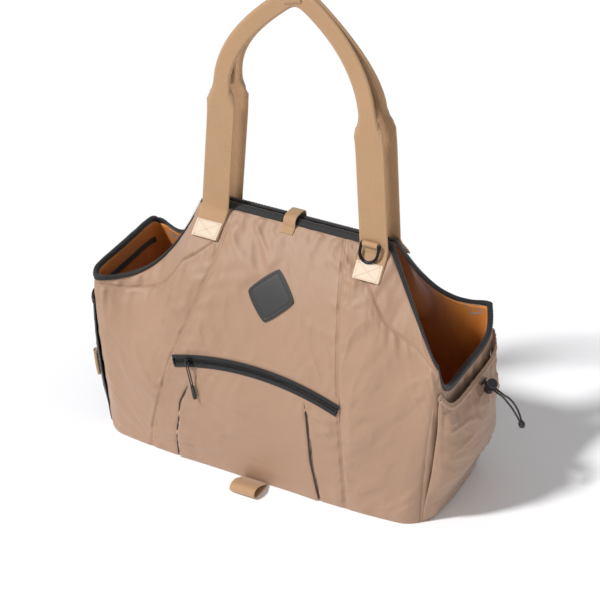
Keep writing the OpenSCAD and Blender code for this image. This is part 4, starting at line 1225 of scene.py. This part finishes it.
def makeRingTab():
    x, y, z = (ringTab[n] for n in "xyz")
    r, turn = ringTab["radius"], np.radians(np.linspace(0, ringTab["wrap"], 26))
    loop = [(x, y + ringTab["front"], z - drop) for drop in ringTab["frontDrops"]]
    loop += [(x, y + r * math.cos(a), z + r * math.sin(a)) for a in turn]
    loop += [(x, y + ringTab["back"], z - drop) for drop in ringTab["backDrops"]]
    bandOf("d-ring-tab", loop, (1, 0, 0), ringTab["width"], ringTab["thick"], strapWeb, ["d_ring_tab"])
    row = stack(np.linspace(-7, 7, 14) + x, y + 0.3, z - 7.5)
    out = np.tile([0.0, -1, 0], (14, 1))
    sew("ring-tab-stitches", [(row, out), (row - [0, 0, 3], out)], thread, pitch=2.6, length=2.0,
        slot="tan_webbing")


def makeSideTab():
    rows = np.linspace(0.275, 0.435, 14)
    p = pocketPoint(-1, -0.8, rows / 0.82, 1.3)
    q = pocketPoint(-1, -0.77, rows / 0.82, 1.3)
    along = unit((q - p) * np.array([1, 1, 0]))
    out = np.cross([0.0, 0, 1], along)
    section = np.array([(-5, 0.2), (-5.1, 2.2), (-4.4, 3.6), (-2, 4.2), (2, 4.2), (4.4, 3.6), (5.1, 2.2),
                        (5, 0.2)])
    closedPiece("left-side-tab", ringsAlong(p, along, out, section), strapWeb, "tan_webbing", "left_side_tab")


bottomLoop = dict(
    x=4, y=-89.7, lift=0.4, width=32, thick=1.5, stitchUp=(0, -0.45, 0.9),
    line=((-2.4, 1.6), (-6.5, 0.9), (-14, 0.8), (-21, 0.8), (-27.5, 0.85), (-31.4, 1.9), (-33.6, 4.7),
          (-33.3, 8.0), (-30.6, 10.7), (-26, 11.5), (-20.3, 10.6), (-16, 8.8), (-12.3, 6.9), (-6, 4.2),
          (-3.6, 3.1)),
)


def makeBottomLoop():
    x, y = bottomLoop["x"], bottomLoop["y"]
    path = smoothPath([(x, a + y, b + bottomLoop["lift"]) for a, b in bottomLoop["line"]], 5)
    bandOf("bottom-loop", path, (1, 0, 0), bottomLoop["width"], bottomLoop["thick"], strapWeb,
           ["bottom_loop"], body="loop")
    row = stack(np.linspace(-13, 13, 20) + x, y - 8.5, 6.5)
    up = np.tile(unit(np.array(bottomLoop["stitchUp"])), (20, 1))
    sew("loop-stitches", [(row, up), (row + [0, -2.6, 1.35], up)], thread, body="loop", **webStitch)


makeTopTab()
makeAnchors()
makeKeeper()
makeRingTab()
makeSideTab()
makeBottomLoop()
print("tabs made")


# base
def baseRing(d, n=90, m=44):
    a, b = np.linspace(-1, 1, n), np.linspace(-1, 1, m)[1:-1]
    return np.concatenate([longSide(a, 0, -1, d), endSide(b, 0, 1, d), longSide(a[::-1], 0, 1, d),
                           endSide(b[::-1], 0, -1, d)])


def disc(name, d, low, high, material, node, slot, wave=0.0):
    # a flat piece with a rounded edge, in rings from its middle underneath to its middle on top
    ring = baseRing(d)
    edge = min(0.9, (high - low) / 2)
    steps = [(f, low) for f in (0.02, 0.25, 0.5, 0.75, 0.93)] + [(1 - edge / 140, low), (1, low + edge)]
    steps += [(1, high - edge), (1 - edge / 140, high)]
    steps += [(f, high) for f in (0.93, 0.8, 0.65, 0.5, 0.35, 0.2, 0.02)]
    rows = []
    for f, z in steps:
        row = ring * np.array([f, f, 0]) + np.array([0, 0, z])
        row[:, 2] += wave * noise2(row[:, 0] / 26, row[:, 1] / 26, 700) * (z == high) * (f < 0.99)
        rows.append(row)
    closedPiece(name, np.stack(rows), material, slot, node)


disc("base-panel", 2.0, 0.0, 2.0, nylon, "base_panel", "tan_nylon")
disc("floor-lining", 5.8, 5.0, 6.0, orangeLining, "floor_lining", "orange_lining", 0.3)


def makePocketLining():
    lo, hi = (lambda t: leftSeam(t) + 0.004), (lambda t: rightSeam(t) - 0.004)
    points, _, _ = panelGrid(-1, lo, hi, foot, lambda s: zipSlit(s) + 0.03, (70, 34), bag["shell"] + 0.3, 2.2)
    clothPiece("front-pocket-lining", points, blackTape, 0.5, "black_binding", "front_pocket_lining")


makePocketLining()

# base mat, blown up by a cloth simulation and then quilted
mat = dict(inset=9.5, low=6.6, high=15.2, round=2.4, voxel=6, pressure=4, stiffness=12, mass=0.2, frames=20,
           cap=3.2, floor=6.15, quilt=48, channel=1.6, channelWidth=2.6, margin=14)


def readPoints(piece):
    co = np.empty(len(piece.data.vertices) * 3)
    piece.data.vertices.foreach_get("co", co)
    return co.reshape(-1, 3)


def makeMat():
    ring = baseRing(mat["inset"], 60, 28)
    rows = [ring * np.array([f, f, 0]) + np.array([0, 0, z]) for f, z in
            [(0.02, mat["low"]), (0.5, mat["low"]), (0.985, mat["low"]), (1, mat["low"] + mat["round"]),
             (1, mat["high"] - mat["round"]),
             (0.985, mat["high"]), (0.5, mat["high"]), (0.02, mat["high"])]]
    piece = makeGrid("base-mat", np.stack(rows), padFabric, body=None, closeV=True, caps=True)
    bpy.context.view_layer.objects.active = piece
    remesh = piece.modifiers.new("remesh", "REMESH")
    remesh.mode = "VOXEL"
    remesh.voxel_size = mat["voxel"] * mm
    apply(piece, "remesh")
    rest = readPoints(piece)
    soft = piece.modifiers.new("cloth", "CLOTH")
    soft.settings.quality = 5
    soft.settings.mass = mat["mass"]
    soft.settings.use_pressure = True
    soft.settings.uniform_pressure_force = mat["pressure"]
    soft.settings.tension_stiffness = mat["stiffness"]
    soft.settings.compression_stiffness = mat["stiffness"]
    soft.settings.effector_weights.gravity = 0
    soft.point_cache.frame_start, soft.point_cache.frame_end = 1, mat["frames"]
    for moment in range(1, mat["frames"] + 1):
        scene.frame_set(moment)
    apply(piece, "cloth")
    scene.frame_set(1)
    move = readPoints(piece) - rest
    far = np.linalg.norm(move, axis=1, keepdims=True)
    move *= np.minimum(1, mat["cap"] * mm / np.maximum(far, 1e-9))
    settled = rest + move
    settled[:, 2] = np.maximum(settled[:, 2], mat["floor"] * mm)
    piece.data.vertices.foreach_set("co", settled.reshape(-1))
    finer = piece.modifiers.new("finer", "SUBSURF")
    finer.levels = finer.render_levels = 1
    apply(piece, "finer")
    co = readPoints(piece)
    x, y = co[:, 0] / mm, co[:, 1] / mm
    top = smooth((co[:, 2] / mm - 10) / 4)
    lines = np.maximum(*(np.exp(-((along % mat["quilt"] - mat["quilt"] / 2) / mat["channelWidth"]) ** 2)
                         for along in (x + y, x - y)))
    inside = smooth((bag["baseWidth"] / 2 - mat["margin"] - np.abs(y)) / 10)
    inside *= smooth((bag["baseLength"] / 2 - mat["margin"] - np.abs(x)) / 10)
    co[:, 2] -= top * lines * inside * mat["channel"] * mm
    piece.data.vertices.foreach_set("co", co.reshape(-1))
    piece.data.polygons.foreach_set("use_smooth", [True] * len(piece.data.polygons))
    piece.data.update()
    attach(piece, "bag")
    assign(piece, "pad_fabric", "base_mat")


def apply(piece, name):
    with bpy.context.temp_override(object=piece, active_object=piece, selected_objects=[piece]):
        bpy.ops.object.modifier_apply(modifier=name)


makeMat()
print("base made")


# stitching on the panels
def makeSeamStitches():
    lines = []
    upright, yoke = (("start", 3.4), ("end", 3.4)), (("low", 2.6),)
    for name, edges in dict(frontUpper=upright, frontPocket=upright, frontLeftYoke=yoke, frontRightYoke=yoke,
                            backLeftYoke=yoke, backRightYoke=yoke, backCentre=upright).items():
        for edge, inset in edges:
            path, out = insetLine(*dressed[name], edge, inset)
            lines.append((path[2:-2], out[2:-2]))
    sew("seam-stitches", lines, seamThread, width=0.4, lift=0.05, slot="tan_nylon")
    lines = []
    for form, reach, count, axis in ((longSide, 0.995, 260, 1), (endSide, 0.97, 80, 0)):
        s = np.linspace(-reach, reach, count)
        for k in (-1, 1):
            p = form(s, 1, k)
            up = unit(p - form(s, 0.98, k))
            out = unit(np.cross(np.gradient(p, axis=0), up))
            out *= np.sign(k * out[:, axis:axis + 1])
            lines.append((p + out * 1.45 + up * 1.5, out))
    sew("binding-stitches", lines, blackThread, slot="black_binding")


makeSeamStitches()


def makePleats():
    # a dark strip along each pleat: painted shade standing for the shadow inside the pleat
    for name, line in pleats.items():
        places, heights = np.array(line).T
        rows = np.linspace(heights.max(), 0.012, 60)
        at = np.interp(rows, heights[::-1], places[::-1])
        path = longSide(at, rows, -1)
        out = unit(path - longSide(at, rows, -1, 1))
        along = unit(np.gradient(path, axis=0))
        across = unit(np.cross(along, out))
        uneven = 1 + 0.25 * noise2(rows * 14, rows * 0, 90)
        width = 1.1 * smooth(np.minimum(np.linspace(0, 6, 60) + 0.15, 1)) * uneven
        ring = roundedSection(1, 0.7)[None] * np.stack([width, np.ones(60)], -1)[:, None]
        piece = makeGrid("pleat-" + name, ringsAlong(path + out * 0.35, across, out, ring), pleatShade, closeV=True,
                         caps=True)


makePleats()


# rigid pieces kept from the frame: material and the width of the bevel on their edges
rigid = dict(
    base_board=(boardPlastic, 0.4), zip_stops=(blackMetal, 0.25), zip_slider=(blackMetal, 0.3),
    puller_grip=(rubber, 0.2), d_ring=(blackMetal, 0), cord_eyelets=(blackMetal, 0.15),
    cord_lock_body=(blackPlastic, 0.35), cord_lock_plunger=(blackPlastic, 0.3),
    cord_end_bead=(blackPlastic, 0.3),
)


def finishRigid():
    for name, (material, bevel) in rigid.items():
        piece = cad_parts[name]
        piece.data.materials.clear()
        piece.data.materials.append(material)
        if bevel:
            soft = piece.modifiers.new("bevel", "BEVEL")
            soft.width = bevel * mm
            soft.segments = 2
            soft.limit_method = "ANGLE"
            soft.angle_limit = math.radians(35)
        piece.data.polygons.foreach_set("use_smooth", [True] * len(piece.data.polygons))
        evened = piece.modifiers.new("evened", "WEIGHTED_NORMAL")
        evened.keep_sharp = True


# the lock's spring, made as a fixed coil; in the lock it gives way as its button is pressed
spring = dict(at=(243, 16, 143.5), dip=26, roll=25, low=-8.65, high=-3.85, radius=2.9, wire=0.3, turns=3,
              keep=0.36)


def makeSpring():
    turn = turnAbout("Y", spring["dip"]) @ turnAbout("X", spring["roll"])
    a = np.linspace(0, 2 * math.pi * spring["turns"], 110)
    path = stack(spring["radius"] * np.cos(a), spring["radius"] * np.sin(a),
                 np.linspace(spring["low"], spring["high"], len(a)))
    path = path @ turn.T + np.array(spring["at"])
    piece = closedPiece("cord-lock-spring", tubeRings(path, spring["wire"], 8), springSteel, "spring_steel",
                        "cord_lock_spring", body="lock")
    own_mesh(piece)


finishRigid()
makeSpring()
print("stitching and rigid pieces made")

# floor, backdrop and light
studio = dict(paper=0.98, world=0.38, sun=2.75, sunFrom=(-0.62, -0.75, 1.25), sunSoft=7, fill=9,
              fillFrom=(1.3, -2.3, 0.7), fillSize=1.4)


def makeStudio():
    floor = bpy.data.meshes.new("floor")
    floor.from_pydata([(-8, -8, 0), (8, -8, 0), (8, 8, 0), (-8, 8, 0)], [], [(0, 1, 2, 3)])
    sheet = bpy.data.objects.new("floor", floor)
    scene.collection.objects.link(sheet)
    paper = bpy.data.materials.new("paper")
    paper.use_nodes = True
    shade = paper.node_tree.nodes["Principled BSDF"]
    setInputs(shade, {"Base Color": (studio["paper"], studio["paper"], studio["paper"] * 1.02, 1),
                      "Roughness": 0.95, "Specular IOR Level": 0.1})
    floor.materials.append(paper)
    world = bpy.data.worlds.new("studio")
    world.use_nodes = True
    scene.world = world
    world.node_tree.nodes["Background"].inputs["Color"].default_value = (1, 1, 1, 1)
    world.node_tree.nodes["Background"].inputs["Strength"].default_value = studio["world"]
    sun = bpy.data.lights.new("key", "SUN")
    sun.energy = studio["sun"]
    sun.angle = math.radians(studio["sunSoft"])
    fill = bpy.data.lights.new("fill", "AREA")
    fill.energy = studio["fill"]
    fill.size = studio["fillSize"]
    for lamp, place in ((sun, studio["sunFrom"]), (fill, studio["fillFrom"])):
        holder = bpy.data.objects.new(lamp.name, lamp)
        aim = Vector((0, 0, 0.15)) - Vector(place)
        holder.matrix_world = Matrix.Translation(place) @ aim.to_track_quat("-Z", "Y").to_matrix().to_4x4()
        scene.collection.objects.link(holder)


makeStudio()
